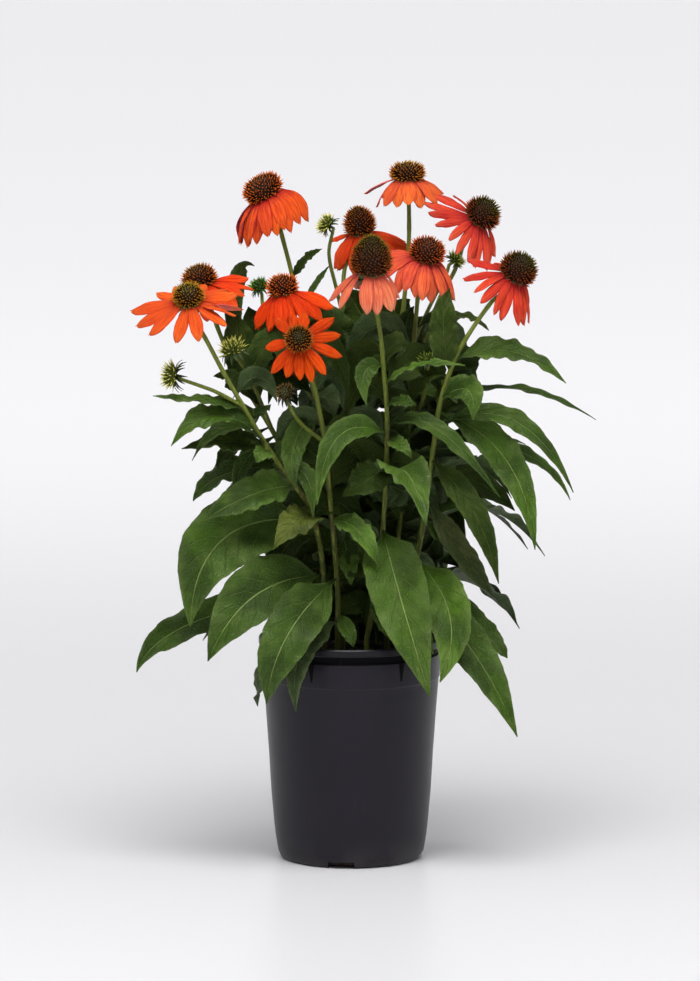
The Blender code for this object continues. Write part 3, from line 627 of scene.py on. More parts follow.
section = []
for number in range(STALK_SIDES):
    turn = 2 * math.pi * number / STALK_SIDES
    out = MM * (1 + RIB_SWELL * math.cos(RIB_WAVES * turn))
    section.append((out * math.cos(turn), out * math.sin(turn), 0))
outline, ring = new_line("stem_outline", "2D", section)
ring.use_cyclic_u = True

skin = Finish("stem_skin", Roughness=0.5, Specular_IOR_Level=0.15)
spot = skin.spot()
fibres = skin.streaks(spot, (420, 420, 30), 4.0)
green = skin.mix(skin.ramp(skin.height(spot), 0.28, 0.5), (0.07, 0.085, 0.014), (0.15, 0.19, 0.028))
green = skin.mix(skin.ramp(fibres, 0.45, 0.75), green, (0.22, 0.26, 0.05))
flushed = skin.times(skin.ramp(skin.noise(spot, 30.0, 2.0), 0.55, 0.7), 0.35)
skin.give(Base_Color=skin.mix(flushed, green, (0.075, 0.035, 0.018)))
bristle = skin.times(skin.noise(spot, 1500.0, 2.0), 0.4)
skin.bump(skin.sum("ADD", skin.times(fibres, 0.7), bristle), 0.5, 0.0006)

paths = {key: stem_path(key) for key in STEMS}
for key, path in paths.items():
    cup_radius = BLOOMS[key][2][0] * CALYX_SHARE
    line = path[:-1]
    last = len(line) - 1
    radii = []
    for number in range(last + 1):
        joint = JOINT_SWELL * max(0.0, math.sin(number * JOINT_STEP)) ** 6
        taper = STEM_RADIUS + (NECK_RADIUS - STEM_RADIUS) * number / last
        radii.append(taper * (1 + joint) * STEM_THIN)
    crown = path[-1] - path[-2]
    for step, grow in ((0.3, 0.1), (0.6, 0.42), (0.85, 0.82), (1.0, 1.0)):
        line.append(path[-2] + crown * step)
        radii.append(NECK_RADIUS + (cup_radius - NECK_RADIUS) * grow)
    tubes = [ribbed_tube("stem", line, radii, outline)]
    for number, bud in enumerate(BUDS):
        if bud[0] == key:
            stalk = stalk_path(number)
            thin = [STALK_RADIUS + STALK_SWELL * (1 - place / len(stalk)) for place in range(len(stalk))]
            tubes.append(ribbed_tube("stalk", stalk, thin, outline))
    stem = joined(tubes, "flower_stem_" + key)
    stem.data.materials.clear()
    stem.data.materials.append(skin.material)
    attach(stem, "root")
    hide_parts("stem_" + key)
bpy.data.objects.remove(outline, do_unlink=True)

# Ray petals
# One ring of soft ribbed petals to a bloom, in two overlapping layers, each with two long grooves and a
# notched tip. They grow from the rim of the small disc under the cone and arch over to hang.
LAYER_DEPTHS = (0.5, 1.3)
LAYER_DROP = 6.0
HUB_SHARE = 0.72
PETAL_ARCH = 1.5
PETAL_THICK = 0.5
PETAL_BEND = 0.45
PETAL_ENDS = ([0, 0.14, 0.35, 0.55, 0.75, 0.88, 0.96, 1], [0.42, 0.6, 0.88, 1, 0.9, 0.66, 0.4, 0.16])
GROOVE_OFF = 0.17

# Colour of each bloom's petals at the root, along the blade and at the tip, and behind
RAYS = {
    "a": ((0.42, 0.014, 0.016), (0.94, 0.12, 0.01), (0.96, 0.15, 0.02), (0.42, 0.06, 0.085)),
    "b": ((0.5, 0.02, 0.006), (0.9, 0.055, 0.005), (0.94, 0.12, 0.02), (0.42, 0.045, 0.04)),
    "c": ((0.6, 0.05, 0.015), (0.95, 0.13, 0.012), (0.96, 0.2, 0.03), (0.7, 0.15, 0.12)),
    "d": ((0.52, 0.022, 0.004), (0.92, 0.065, 0.004), (0.95, 0.1, 0.008), (0.5, 0.05, 0.035)),
    "e": ((0.52, 0.03, 0.004), (0.9, 0.09, 0.004), (0.94, 0.13, 0.008), (0.6, 0.08, 0.02)),
    "f": ((0.52, 0.03, 0.006), (0.92, 0.085, 0.01), (0.95, 0.15, 0.03), (0.28, 0.025, 0.03)),
    "g": ((0.62, 0.08, 0.05), (0.95, 0.26, 0.11), (0.97, 0.38, 0.2), (0.5, 0.12, 0.11)),
    "h": ((0.58, 0.055, 0.03), (0.92, 0.16, 0.025), (0.96, 0.22, 0.045), (0.42, 0.13, 0.17)),
    "i": ((0.55, 0.035, 0.035), (0.92, 0.15, 0.045), (0.96, 0.22, 0.08), (0.38, 0.05, 0.07)),
    "j": ((0.5, 0.02, 0.024), (0.93, 0.095, 0.035), (0.95, 0.17, 0.08), (0.36, 0.035, 0.045)),
    "k": ((0.5, 0.02, 0.022), (0.92, 0.085, 0.025), (0.95, 0.14, 0.055), (0.34, 0.03, 0.04)),
}

# The petals of each bloom: width, rise where they leave the hub (degrees), then for each petal where it
# stands round the hub (degrees from the front, to the right), its length, how far it hangs (0 to 1) and,
# where it isn't like the rest, how much higher it leaves and how far it turns its back to the front
PETALS = {
    "a": (13.0, -4, [
        (-172, 42, 0.8), (-152, 43, 0.8), (-133, 43, 0.85, 6), (-115, 44, 0.93, 12, 0.6),
        (-99, 45, 0.98, 14, 0.7), (-86, 46, 0.98, 12, 0.6), (-71, 46, 0.93, 10, 0.3), (-56, 46, 0.9, 7),
        (-41, 45, 0.9, 4), (-26, 44, 0.88), (-11, 45, 0.86), (4, 44, 0.86, -2), (19, 44, 0.86, -5),
        (34, 45, 0.84, -8), (49, 46, 0.84, -10), (64, 47, 0.86, -12), (79, 48, 0.9, -14),
        (94, 49, 0.95, -14, 0.7), (112, 46, 0.95, -14), (134, 44, 0.85, -10), (160, 42, 0.8),
    ]),
    "b": (13.5, -10, [
        (-170, 32, 0.7), (-145, 32, 0.8), (-118, 32, 0.9), (-92, 31, 0.95), (-68, 31, 0.95),
        (-45, 33, 0.85), (-22, 38, 0.7), (0, 40, 0.6), (24, 42, 0.55), (44, 40, 0.5), (60, 39, 0.42),
        (78, 39, 0.32), (104, 34, 0.3), (135, 36, 0.5), (165, 34, 0.6),
    ]),
    "c": (12.8, -8, [
        (-160, 28, 0.2), (-128, 30, 0.1), (-93, 43, 0.12), (-77, 43, 0.24), (-48, 41, 0.38),
        (-14, 38, 0.45), (13, 40, 0.45), (46, 36, 0.25, 0, 0.5), (62, 38, 0.22, 0, 0.9),
        (78, 39, 0.14, 0, 0.9), (98, 34, 0.05), (128, 32, 0.1), (163, 30, 0.2),
    ]),
    "d": (13.0, -16, [
        (-172, 30, 0.7), (-145, 30, 0.7), (-118, 34, 0.75), (-95, 36, 0.85), (-70, 37, 0.75),
        (-38, 35, 0.8), (-12, 35, 0.66), (13, 37, 0.72), (37, 38, 0.6), (56, 40, 0.52), (76, 41, 0.4),
        (106, 36, 0.45), (135, 32, 0.6), (160, 32, 0.6),
    ]),
    "e": (9.8, -12, [
        (0, 27, 0.3), (-22, 26, 0.2), (-42, 29, 0.15), (-82, 22, 0.1), (-135, 21, 0.0), (-165, 18, 0.1),
        (166, 18, 0.1), (128, 30, 0.0), (99, 29, 0.1), (75, 32, 0.05), (44, 30, 0.2), (24, 30, 0.25),
    ]),
    "f": (13.0, -20, [
        (-158, 30, 0.6), (-130, 30, 0.6), (-100, 20, 0.1), (-72, 36, 0.7), (-52, 38, 0.8), (-19, 38, 0.97),
        (10, 36, 0.85), (34, 38, 0.6), (54, 41, 0.36), (70, 45, 0.2, 6), (100, 36, 0.3), (130, 32, 0.5),
        (158, 30, 0.6),
    ]),
    "g": (12.0, -32, [
        (-150, 30, 0.6), (-115, 32, 0.6), (-82, 38, 0.45), (-64, 37, 0.58), (-12, 37, 0.76), (14, 36, 0.7),
        (38, 36, 0.74), (62, 34, 0.8), (105, 30, 0.7), (142, 30, 0.6), (178, 30, 0.6),
    ]),
    "h": (13.5, -18, [
        (-160, 27, 0.6), (-128, 29, 0.5), (-101, 34, 0.34, 0, 0.7), (-78, 33, 0.66, 0, 0.6), (-50, 31, 0.7),
        (-24, 29, 0.72), (3, 29, 0.7), (30, 30, 0.74), (54, 32, 0.62), (78, 35, 0.45), (105, 30, 0.4),
        (135, 27, 0.5), (165, 27, 0.6),
    ]),
    "i": (12.8, -12, [
        (-160, 34, 0.5), (-138, 34, 0.5), (-115, 36, 0.3), (-93, 41, 0.42), (-71, 43, 0.6), (-52, 41, 0.8),
        (-34, 37, 0.72), (-16, 36, 0.86), (3, 40, 0.82), (21, 38, 0.9), (41, 40, 0.85), (60, 42, 0.92),
        (80, 42, 0.85), (100, 41, 0.9), (124, 36, 0.7), (150, 32, 0.6), (176, 32, 0.5),
    ]),
    "j": (8.4, -16, [
        (-155, 36, 0.2), (-130, 38, 0.1), (-107, 42, 0.03), (-89, 43, 0.08), (-70, 43, 0.14),
        (-54, 40, 0.12), (-35, 40, 0.25), (-17, 40, 0.3), (1, 43, 0.45), (17, 41, 0.55), (35, 42, 0.6),
        (54, 38, 0.75), (80, 31, 0.8), (110, 28, 0.8), (145, 32, 0.5), (178, 34, 0.3),
    ]),
    "k": (8.6, -20, [
        (-160, 28, 0.3), (-125, 30, 0.2), (-98, 34, 0.06), (-76, 39, 0.16), (-55, 38, 0.3), (-36, 38, 0.36),
        (-18, 41, 0.55), (-1, 40, 0.64), (19, 40, 0.8), (49, 38, 0.85), (65, 39, 0.92), (90, 30, 0.9),
        (125, 28, 0.7), (160, 28, 0.5),
    ]),
}


def across(axis):
    """Two directions square to an axis and to each other."""
    first = axis.orthogonal().normalized()
    return first, axis.cross(first)


def outward(first, second, turn):
    """The direction out from an axis, at a turn from one direction square to it towards another."""
    return first * math.cos(turn) + second * math.sin(turn)


def unit(rows):
    """Rows of vectors made one long."""
    return rows / np.linalg.norm(rows, axis=-1, keepdims=True)


def arched(start, bend, end, t):
    """Places and directions along a curve that leaves its start towards a bend and comes to its end."""
    t = np.asarray(t, float)[:, None]
    place = (1 - t) ** 2 * start + 2 * t * (1 - t) * bend + t**2 * end
    return place, unit((1 - t) * (bend - start) + t * (end - bend))


def flat_blade(columns, rows):
    """A flat grid that blades are shaped from, with where each point is across and along it."""
    bpy.ops.mesh.primitive_grid_add(x_subdivisions=columns, y_subdivisions=rows, size=1)
    blade = bpy.context.object
    mesh = blade.data.copy()
    mesh.uv_layers[0].name = "UVMap"
    bpy.data.objects.remove(blade, do_unlink=True)
    points = points_of(mesh)
    return mesh, points[:, 0] * 2, points[:, 1] + 0.5


petal_mesh, petal_u, petal_t = flat_blade(12, 22)


def petal_shape(hub, axis, radial, hub_radius, lower, length, width, rise, hang, faced, turned, chance):
    """Points of one petal: it leaves the hub and arches over, widest past its middle, with a toothed tip."""
    u = petal_u
    side = np.array(axis.cross(radial))
    angle = math.radians(rise - 26 * (hang - 0.4) - LAYER_DROP * lower + chance.uniform(-3, 3))
    start = np.array(hub + radial * hub_radius * 0.9 - axis * LAYER_DEPTHS[lower])
    out = np.array(radial * math.cos(angle) + axis * math.sin(angle))
    down = np.array((-axis * 0.25 - Vector((0, 0, 0.75))).normalized())
    away = unit(out * (1 - hang) + down * hang)
    bend = start + out * length * PETAL_BEND
    teeth = 0.045 * np.exp(-(((np.abs(u) - 0.36) / 0.16) ** 2)) + chance.uniform(0, 0.02)
    t = petal_t * (1 - 0.05 * np.abs(u) ** 2 * petal_t - teeth * petal_t**8)
    place, along = arched(start, bend, bend + away * length * (1 - PETAL_BEND), t)
    upward = unit(np.cross(along, side))
    half = width / 2 * chance.uniform(0.95, 1.12) * np.interp(petal_t, *PETAL_ENDS)
    sway = chance.uniform(-0.09, 0.09) * length * petal_t**2
    twist = (chance.uniform(-0.35, 0.35) + (turned - 0.26) * faced) * np.minimum(1, petal_t * 1.6)
    curl = chance.uniform(0.6, 1.7)
    arch = PETAL_ARCH * curl * (0.35 + 0.65 * petal_t) * (0.3 - u**2)
    ribs = 0.22 * np.cos(3 * math.pi * u) * np.minimum(1, petal_t * 4) * (1.15 - petal_t)
    crinkle = 0.4 * np.sin(petal_t * chance.uniform(12, 20) + chance.uniform(0, 6)) * u**2 * petal_t
    lift = arch + ribs + crinkle + u * half * np.sin(twist)
    flat = (u * half * np.cos(twist) + sway)[:, None]
    return (place - side * flat + upward * lift[:, None]) * MM


# The face of a petal: darker at the root, paler at the tip, streaked along its ribs, with painted shade
# along its two grooves and at its edges, where petals overlap
ray_face = Effect("petal_face", ("Root", "Blade", "Tip"), ("Relief",))
root, blade, tip = (ray_face.given[label] for label in ("Root", "Blade", "Tip"))
wide, along, _ = ray_face.on_blade()
own = ray_face.tag("own")
drawn_out = ray_face.node(
    "CombineXYZ", X=ray_face.times(wide, 15.0), Y=ray_face.times(along, 2.2), Z=ray_face.times(own, 40.0))
ribs = ray_face.noise(drawn_out.outputs[0], 1.0, 3.0)
blush = ray_face.noise(ray_face.spot(), 60.0, 3.0)
off_middle = ray_face.off(wide, 0.5)
grooves = ray_face.ramp(ray_face.off(off_middle, GROOVE_OFF), 0.07, 0.0)
colour = ray_face.mix(ray_face.ramp(along, 0.0, 0.45), root, blade)
colour = ray_face.laid_over(
    colour,
    (ray_face.ramp(along, 0.6, 1.0), 1.0, tip),
    (ray_face.ramp(ribs, 0.5, 0.34), 0.7, root),
    (ray_face.ramp(ribs, 0.52, 0.7), 0.6, tip),
    (ray_face.ramp(blush, 0.5, 0.75), 0.3, root),
    # Painted shade: the petal's edges darkened towards the root colour
    (ray_face.ramp(off_middle, 0.37, 0.5), 0.8, root),
    # Painted shade: the two grooves darkened, fading out towards the tip
    (ray_face.times(grooves, ray_face.ramp(along, 1.0, 0.5)), 0.45, root),
    # The per-petal darkening: partly random tone, partly painted shade on back and left petals
    (own, 0.55, root))
ray_face.put(colour, ray_face.gives["Colour"])
ray_face.put(ribs, ray_face.gives["Relief"])


def petal_material(name, root, blade, tip):
    """A petal's material from its three colours."""
    petal = Finish(
        name, Roughness=0.6, Specular_IOR_Level=0.06, Subsurface_Weight=0.05,
        Subsurface_Radius=(1.0, 0.3, 0.15), Subsurface_Scale=0.0015)
    face = petal.face(ray_face, Root=root, Blade=blade, Tip=tip)
    petal.give(Base_Color=face["Colour"])
    petal.bump(face["Relief"], 1.0, 0.002)
    return petal.material


def thickened(piece, thick, front, behind):
    """Give a sheet its thickness, with one material in front and another behind and on its edge."""
    piece.data.materials.append(front)
    piece.data.materials.append(behind)
    worked(piece, "SOLIDIFY", thickness=thick * MM, offset=0, material_offset=1, material_offset_rim=1)
    bpy.ops.object.shade_smooth_by_angle(angle=math.radians(70))


for key, (centre, facing, (radius, cone_height)) in BLOOMS.items():
    axis, hub = flower_frame(centre, facing, cone_height)
    right = (Vector((1, 0, 0)) - axis * axis.x).normalized()
    front = right.cross(axis)
    width, rise, laid = PETALS[key]
    petals, tags = [], []
    chance = random.Random("petals " + key)
    for number, (angle, length, hang, *more) in enumerate(laid):
        turn = math.radians(angle)
        lifted, turned = (*more, 0, 0)[:2]
        petals.append(petal_shape(
            hub, axis, outward(front, right, turn), radius * HUB_SHARE, number % 2, length, width,
            rise + lifted, hang, math.sin(turn), turned, chance))
        # Each petal's darkening: a random tone, plus painted shade on the petals towards the back and on the
        # left
        tone_and_painted_shade = 0.85 * chance.random() + 0.4 * max(0.0, -math.cos(turn))
        tone_and_painted_shade += 0.35 * max(0.0, -math.sin(turn)) ** 3
        tags.append(np.full(len(petal_u), min(1.0, tone_and_painted_shade)))
    rays = gathered("ray_petals_" + key, petal_mesh, petals, {"own": tags})
    root, blade, tip, behind = RAYS[key]
    thickened(
        rays, PETAL_THICK, petal_material("petal_" + key, root, blade, tip),
        petal_material("petal_back_" + key, behind, behind, tip))
    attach(rays, "root")
    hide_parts("petals_" + key)

# Cones
# The domed middle of each bloom: a dark receptacle set all over with stiff pointed scales in spirals,
# brown-black at their feet, partly their own colour and partly painted shade between the scales, rust to
# orange at their tips and green at the crown. It sits on the disc.
CONE_SWEEP = math.radians(124.0)
CONE_WAIST = 0.4
CORE_IN = 4.0
SCALES_IN = (4.2, 4.4)
SCALE_LENGTH = 7.2
SCALE_RADIUS = 0.76
SCALE_LEAN = 0.5
GOLDEN = math.pi * (3 - math.sqrt(5))

# Colour of each cone's scale tips and of its crown, how broad and how high it stands on its disc, and how
# far down it its crown's colour reaches
CONES = {
    "a": ((0.75, 0.15, 0.018), (0.6, 0.17, 0.02), 1.0, 0.86, 0.85),
    "b": ((0.6, 0.15, 0.015), (0.42, 0.2, 0.02), 0.96, 0.95, 1.1),
    "c": ((0.5, 0.22, 0.015), (0.5, 0.4, 0.03), 0.86, 0.9, 1.0),
    "d": ((0.85, 0.17, 0.02), (0.75, 0.2, 0.025), 0.97, 0.92, 0.85),
    "e": ((0.5, 0.13, 0.015), (0.2, 0.22, 0.014), 0.86, 0.9, 0.9),
    "f": ((0.5, 0.12, 0.015), (0.46, 0.19, 0.022), 1.0, 1.0, 1.0),
    "g": ((0.34, 0.085, 0.013), (0.18, 0.16, 0.014), 1.0, 1.0, 1.25),
    "h": ((0.56, 0.19, 0.02), (0.5, 0.29, 0.03), 1.0, 0.9, 0.9),
    "i": ((0.66, 0.12, 0.02), (0.56, 0.13, 0.02), 1.0, 1.0, 0.85),
    "j": ((0.36, 0.07, 0.014), (0.11, 0.12, 0.01), 1.0, 1.0, 1.35),
    "k": ((0.36, 0.065, 0.014), (0.1, 0.12, 0.01), 1.0, 1.0, 1.35),
}


def dome_place(polar, radius, height):
    """Distance from the axis and height of a point of a dome, by its angle from the top."""
    waist = CONE_WAIST * height
    taper = min(0.3, max(0.0, 0.45 * (height / radius - 1.25)))
    radius *= 1 - taper * max(0.0, math.cos(polar))
    above = polar < math.pi / 2
    reach = height - waist if above else -waist / math.cos(CONE_SWEEP)
    return radius * math.sin(polar), max(0.0, waist + reach * math.cos(polar))


def pointed_scale(name, sides, levels):
    """A slim pointed scale one long and one in radius, drawn up from a ring, level by level."""
    bpy.ops.mesh.primitive_circle_add(vertices=sides, radius=levels[0][0], location=(0, 0, 0))
    spike = bpy.context.object
    bpy.ops.object.mode_set(mode="EDIT")
    bpy.ops.mesh.select_all(action="SELECT")
    drawn_up(levels, 1)
    bpy.ops.mesh.merge(type="CENTER")
    made_consistent()
    mesh = spike.data
    mesh.name = name
    bpy.data.objects.remove(spike, do_unlink=True)
    return mesh


scale_mesh = pointed_scale("cone_scale", 6, [(1.0, 0), (1.0, 0.35), (0.62, 0.6), (0.3, 0.82), (0.04, 1.0)])
scale_points = points_of(scale_mesh)

# A scale's colour up its length, from its dark foot, partly painted shade between the scales, to its tip,
# and over the dome to the crown
scale_face = Effect("scale_face", ("Foot", "Tip", "Crown"), ())
foot, tip, crown = (scale_face.given[label] for label in ("Foot", "Tip", "Crown"))
mottle = scale_face.noise(scale_face.spot(), 260.0, 2.0)
ends = scale_face.mix(scale_face.ramp(scale_face.tag("crown"), 0.15, 0.8), tip, crown)
shaded_feet_to_tips = scale_face.mix(scale_face.ramp(scale_face.tag("up"), 0.45, 0.7), foot, ends)
shaded = scale_face.laid_over(shaded_feet_to_tips, (scale_face.ramp(mottle, 0.45, 0.7), 0.3, foot))
scale_face.put(shaded, scale_face.gives["Colour"])


def scale_material(name, foot, tip, crown):
    """The stiff waxy surface of pointed scales."""
    waxy = Finish(name, Roughness=0.5, Specular_IOR_Level=0.06)
    waxy.give(Base_Color=waxy.face(scale_face, Foot=foot, Tip=tip, Crown=crown)["Colour"])
    return waxy.material


def scales_on_dome(name, material, foot, axis, radius, height, count, thick, long, lean, down, chance):
    """Scales in a spiral over a dome, tagged with how far up its scale and up the dome each point is."""
    first, second = across(axis)
    placed, ups, crowns = [], [], []
    for number in range(count):
        share = (number + 0.5) / count
        polar = CONE_SWEEP * 0.98 * share**0.56
        radial = outward(first, second, GOLDEN * number)
        out, up = dome_place(polar, radius, height)
        near_out, near_up = dome_place(polar + 0.05, radius, height)
        slope = (radial * (near_out - out) + axis * (near_up - up)).normalized()
        normal = radial.cross(axis).normalized().cross(slope).normalized()
        if normal.dot(radial * math.sin(polar) + axis * max(0.1, math.cos(polar))) < 0:
            normal = -normal
        tilt = Vector((chance.uniform(-1, 1), chance.uniform(-1, 1), chance.uniform(-1, 1))) * 0.2
        point_way = (normal + axis * lean * math.sin(polar) + tilt).normalized()
        crown = math.exp(-((polar / 0.85) ** 2))
        green = math.exp(-((polar / down) ** 2))
        size = long * (1 - 0.45 * crown) * chance.uniform(0.78, 1.14)
        slim = thick * (1 - 0.25 * crown)
        sideways, other = across(point_way)
        way = np.array([sideways * slim, other * slim, point_way * size])
        place = np.array(foot + radial * out + axis * up - point_way * 0.5)
        placed.append((scale_points @ way + place) * MM)
        ups.append(scale_points[:, 2])
        crowns.append(np.full(len(scale_points), green * chance.uniform(0.7, 1.2)))
    scales = gathered(name, scale_mesh, placed, {"up": ups, "crown": crowns})
    scales.data.materials.append(material)
    alone(scales)
    bpy.ops.object.shade_smooth_by_angle(angle=math.radians(50))
    return scales


def dome_piece(name, material, foot, axis, radius, height):
    """The dome that the scales stand on."""
    bpy.ops.mesh.primitive_uv_sphere_add(segments=28, ring_count=16, radius=1)
    dome = bpy.context.object
    dome.name = name
    first, second = across(axis)
    for vert in dome.data.vertices:
        polar = math.acos(max(-1.0, min(1.0, vert.co.z)))
        out, up = dome_place(min(polar, CONE_SWEEP), radius, height)
        if polar > CONE_SWEEP:
            out *= (math.pi - polar) / (math.pi - CONE_SWEEP)
        radial = outward(first, second, math.atan2(vert.co.y, vert.co.x))
        vert.co = (foot + radial * out + axis * up) * MM
    dome.data.materials.append(material)
    alone(dome)
    bpy.ops.object.mode_set(mode="EDIT")
    made_consistent()
    bpy.ops.object.shade_smooth()
    return dome


pith = Finish("cone_pith", Roughness=0.9)
pores = pith.node("TexVoronoi", Vector=pith.spot(), Scale=700.0).outputs["Distance"]
pith.give(Base_Color=pith.mix(pores, (0.012, 0.007, 0.003), (0.05, 0.022, 0.008)))
pith.bump(pores, 0.6, 0.0005)

for key, (centre, facing, (radius, height)) in BLOOMS.items():
    axis, foot = flower_frame(centre, facing, height)
    foot = foot + axis * GAP
    chance = random.Random("cone " + key)
    tip, crown, broad, high, down = CONES[key]
    radius, height = radius * broad, height * high
    core = dome_piece("cone_core_" + key, pith.material, foot, axis, radius - CORE_IN, height - CORE_IN)
    count = int(70 + 0.62 * radius * height)
    # The scales' feet near black: their own dark brown and painted shade between them
    waxy = scale_material("cone_scale_" + key, (0.018, 0.008, 0.004), tip, crown)
    scales = scales_on_dome(
        "cone_scales_" + key, waxy, foot, axis, radius - SCALES_IN[0], height - SCALES_IN[1], count,
        SCALE_RADIUS, SCALE_LENGTH, SCALE_LEAN, down, chance)
    for piece in (core, scales):
        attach(piece, "root")
    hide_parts("cone_" + key)

# Discs and bracts
# Under each ring of petals, a low green disc and two rows of narrow hairy bracts that spread and turn
# down round the stem's cup. They grew with the stem.
BRACTS = 12
BRACT_WIDTH = 3.0
BRACT_THICK = 0.4
DISC_EDGE = 1.2

bract_mesh, bract_u, bract_t = flat_blade(4, 8)


def bract_shape(start, out, turn_to, side, length, width):
    """Points of one narrow bract that leaves one way and turns to another."""
    start, out, turn_to, side = (np.array(way) for way in (start, out, turn_to, side))
    bend = start + out * length * 0.5
    place, along = arched(start, bend, bend + turn_to * length * 0.5, bract_t)
    normal = unit(np.cross(side, along))
    half = width / 2 * np.interp(bract_t, [0, 0.3, 0.7, 1], [0.8, 1.0, 0.6, 0.06])
    fold = 0.35 * half * np.abs(bract_u)
    return (place + side * (bract_u * half)[:, None] + normal * fold[:, None]) * MM


calyx = Finish("bract_green", Roughness=0.55)
mottle = calyx.noise(calyx.spot(), 220.0, 3.0)
green = calyx.mix(calyx.on_blade()[1], (0.1, 0.14, 0.03), (0.055, 0.085, 0.022))
calyx.give(Base_Color=calyx.laid_over(green, (mottle, 0.5, (0.03, 0.05, 0.014))))
calyx.bump(mottle, 0.5, 0.0006)

for key, (centre, facing, (radius, height)) in BLOOMS.items():
    axis, hub = flower_frame(centre, facing, height)
    first, second = across(axis)
    chance = random.Random("bracts " + key)
    placed = []
    for row in range(2):
        for number in range(BRACTS):
            turn = 2 * math.pi * (number + 0.5 * row + chance.uniform(-0.15, 0.15)) / BRACTS
            radial = outward(first, second, turn)
            low = HUB_HEIGHT + GAP + 0.6 + 1.7 * row
            start = hub + radial * radius * (0.44 - 0.08 * row) - axis * low
            out = (radial - axis * (0.1 + 0.25 * row)).normalized()
            turn_to = (radial * 0.55 - axis * (0.7 + 0.3 * row)).normalized()
            length = (10.5 - 1.5 * row) * chance.uniform(0.85, 1.1)
            placed.append(bract_shape(start, out, turn_to, axis.cross(radial), length, BRACT_WIDTH))
    collar = gathered("bract_collar_" + key, bract_mesh, placed)
    thickened(collar, BRACT_THICK, calyx.material, calyx.material)
    disc_radius = radius * HUB_SHARE * 0.96
    bpy.ops.mesh.primitive_cylinder_add(vertices=32, radius=disc_radius * MM, depth=HUB_HEIGHT * MM)
    disc = bpy.context.object
    disc.name = "flower_disc_" + key
    worked(disc, "BEVEL", width=DISC_EDGE * MM, segments=3)
    tilt = axis.to_track_quat("Z", "Y").to_matrix().to_4x4()
    disc.matrix_world = Matrix.Translation((hub - axis * HUB_HEIGHT / 2) * MM) @ tilt
    bpy.ops.object.transform_apply(location=True, rotation=True, scale=True)
    bpy.ops.object.shade_smooth_by_angle(angle=math.radians(50))
    disc.data.materials.append(calyx.material)
    for piece in (collar, disc):
        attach(piece, "root")

# Buds
# Seven unopened heads on side stalks, each a green knob of pointed scales with a collar of leafy bracts
# turned down under it; the riper ones show short yellow rays round the rim.
BUD_SCALES = 64
BUD_SCALE_RADIUS = 0.85
BUD_SCALE_LEAN = 0.7
BUD_TIPS_DOWN = 0.85
BUD_BRACTS = 14
BUD_BRACT_WIDTH = 2.6

# Length of the scales and of the collar's bracts, then the colours of scale foot, scale tip and bract
BUD_LOOKS = [
    (8.5, 10, (0.04, 0.1, 0.015), (0.2, 0.4, 0.05), (0.04, 0.1, 0.02)),
    (9.0, 11, (0.08, 0.12, 0.015), (0.75, 0.72, 0.16), (0.03, 0.05, 0.012)),
    (8.0, 9, (0.06, 0.11, 0.015), (0.45, 0.5, 0.1), (0.05, 0.09, 0.02)),
    (11.5, 16, (0.1, 0.13, 0.015), (0.8, 0.76, 0.2), (0.015, 0.03, 0.006)),
    (11.0, 16, (0.1, 0.14, 0.015), (0.72, 0.7, 0.16), (0.05, 0.09, 0.02)),
    (6.0, 13, (0.03, 0.03, 0.01), (0.25, 0.16, 0.05), (0.015, 0.026, 0.008)),
    (9.0, 12, (0.06, 0.1, 0.012), (0.34, 0.46, 0.08), (0.04, 0.08, 0.018)),
]

for number, (_, _, _, centre, facing, (radius, height)) in enumerate(BUDS):
    long, reach, foot_colour, tip_colour, bract_colour = BUD_LOOKS[number]
    axis, foot = flower_frame(centre, facing, height)
    foot = foot + axis * GAP
    chance = random.Random("bud %d" % number)
    core = dome_piece("bud_core", calyx.material, foot, axis, radius * 0.55, height * 0.5)
    waxy = scale_material("bud_scale_%d" % (number + 1), foot_colour, tip_colour, tip_colour)
    scales = scales_on_dome(
        "bud_scales", waxy, foot, axis, radius * 0.5, height * 0.45, BUD_SCALES, BUD_SCALE_RADIUS, long,
        BUD_SCALE_LEAN, BUD_TIPS_DOWN, chance)
    first, second = across(axis)
    bracts = []
    for place in range(BUD_BRACTS):
        radial = outward(first, second, 2 * math.pi * (place + chance.uniform(-0.2, 0.2)) / BUD_BRACTS)
        start = foot + radial * radius * 0.3 + axis * 0.4
        out = (radial + axis * chance.uniform(-0.2, 0.3)).normalized()
        turn_to = (radial * chance.uniform(0.1, 0.6) - axis * chance.uniform(0.5, 1.0)).normalized()
        bracts.append(bract_shape(start, out, turn_to, axis.cross(radial), reach, BUD_BRACT_WIDTH))
    collar = gathered("bud_bracts", bract_mesh, bracts)
    leafy = Finish("bud_bract_%d" % (number + 1), Roughness=0.55)
    mottle = leafy.noise(leafy.spot(), 220.0, 3.0)
    darker = tuple(0.45 * part for part in bract_colour)
    leafy.give(Base_Color=leafy.mix(mottle, darker, bract_colour))
    leafy.bump(mottle, 0.5, 0.0006)
    thickened(collar, BRACT_THICK, leafy.material, leafy.material)
    bud = joined([scales, core, collar], "flower_bud_%d" % (number + 1))
    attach(bud, "root")
    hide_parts("bud_%d" % (number + 1))

# Leaves
# Long pointed leaves on every stem: rough green blades, mid green with lighter and darker copies that
# paint light and shade, folded a little along a pale midrib, waved and shallowly toothed, narrowing to a
# stalk that clasps the stem, and paler underneath.
VIEW_SLOPE = 0.14
LEAF_THICK = 0.45
BACK_ROLL = 35.0
SIZES = (1.0, 0.85, 0.7)
MIDDLE_SHIFTS = (0, -8, 8, -16, 16, -24, 24, 36)
TIP_SHIFTS = (0, -10, 10, -20, 20, -32, 32, 46)
FOUND_WITHIN = 0.35
SIDE_VEINS = 8.0
VEIN_SLANT = 1.9
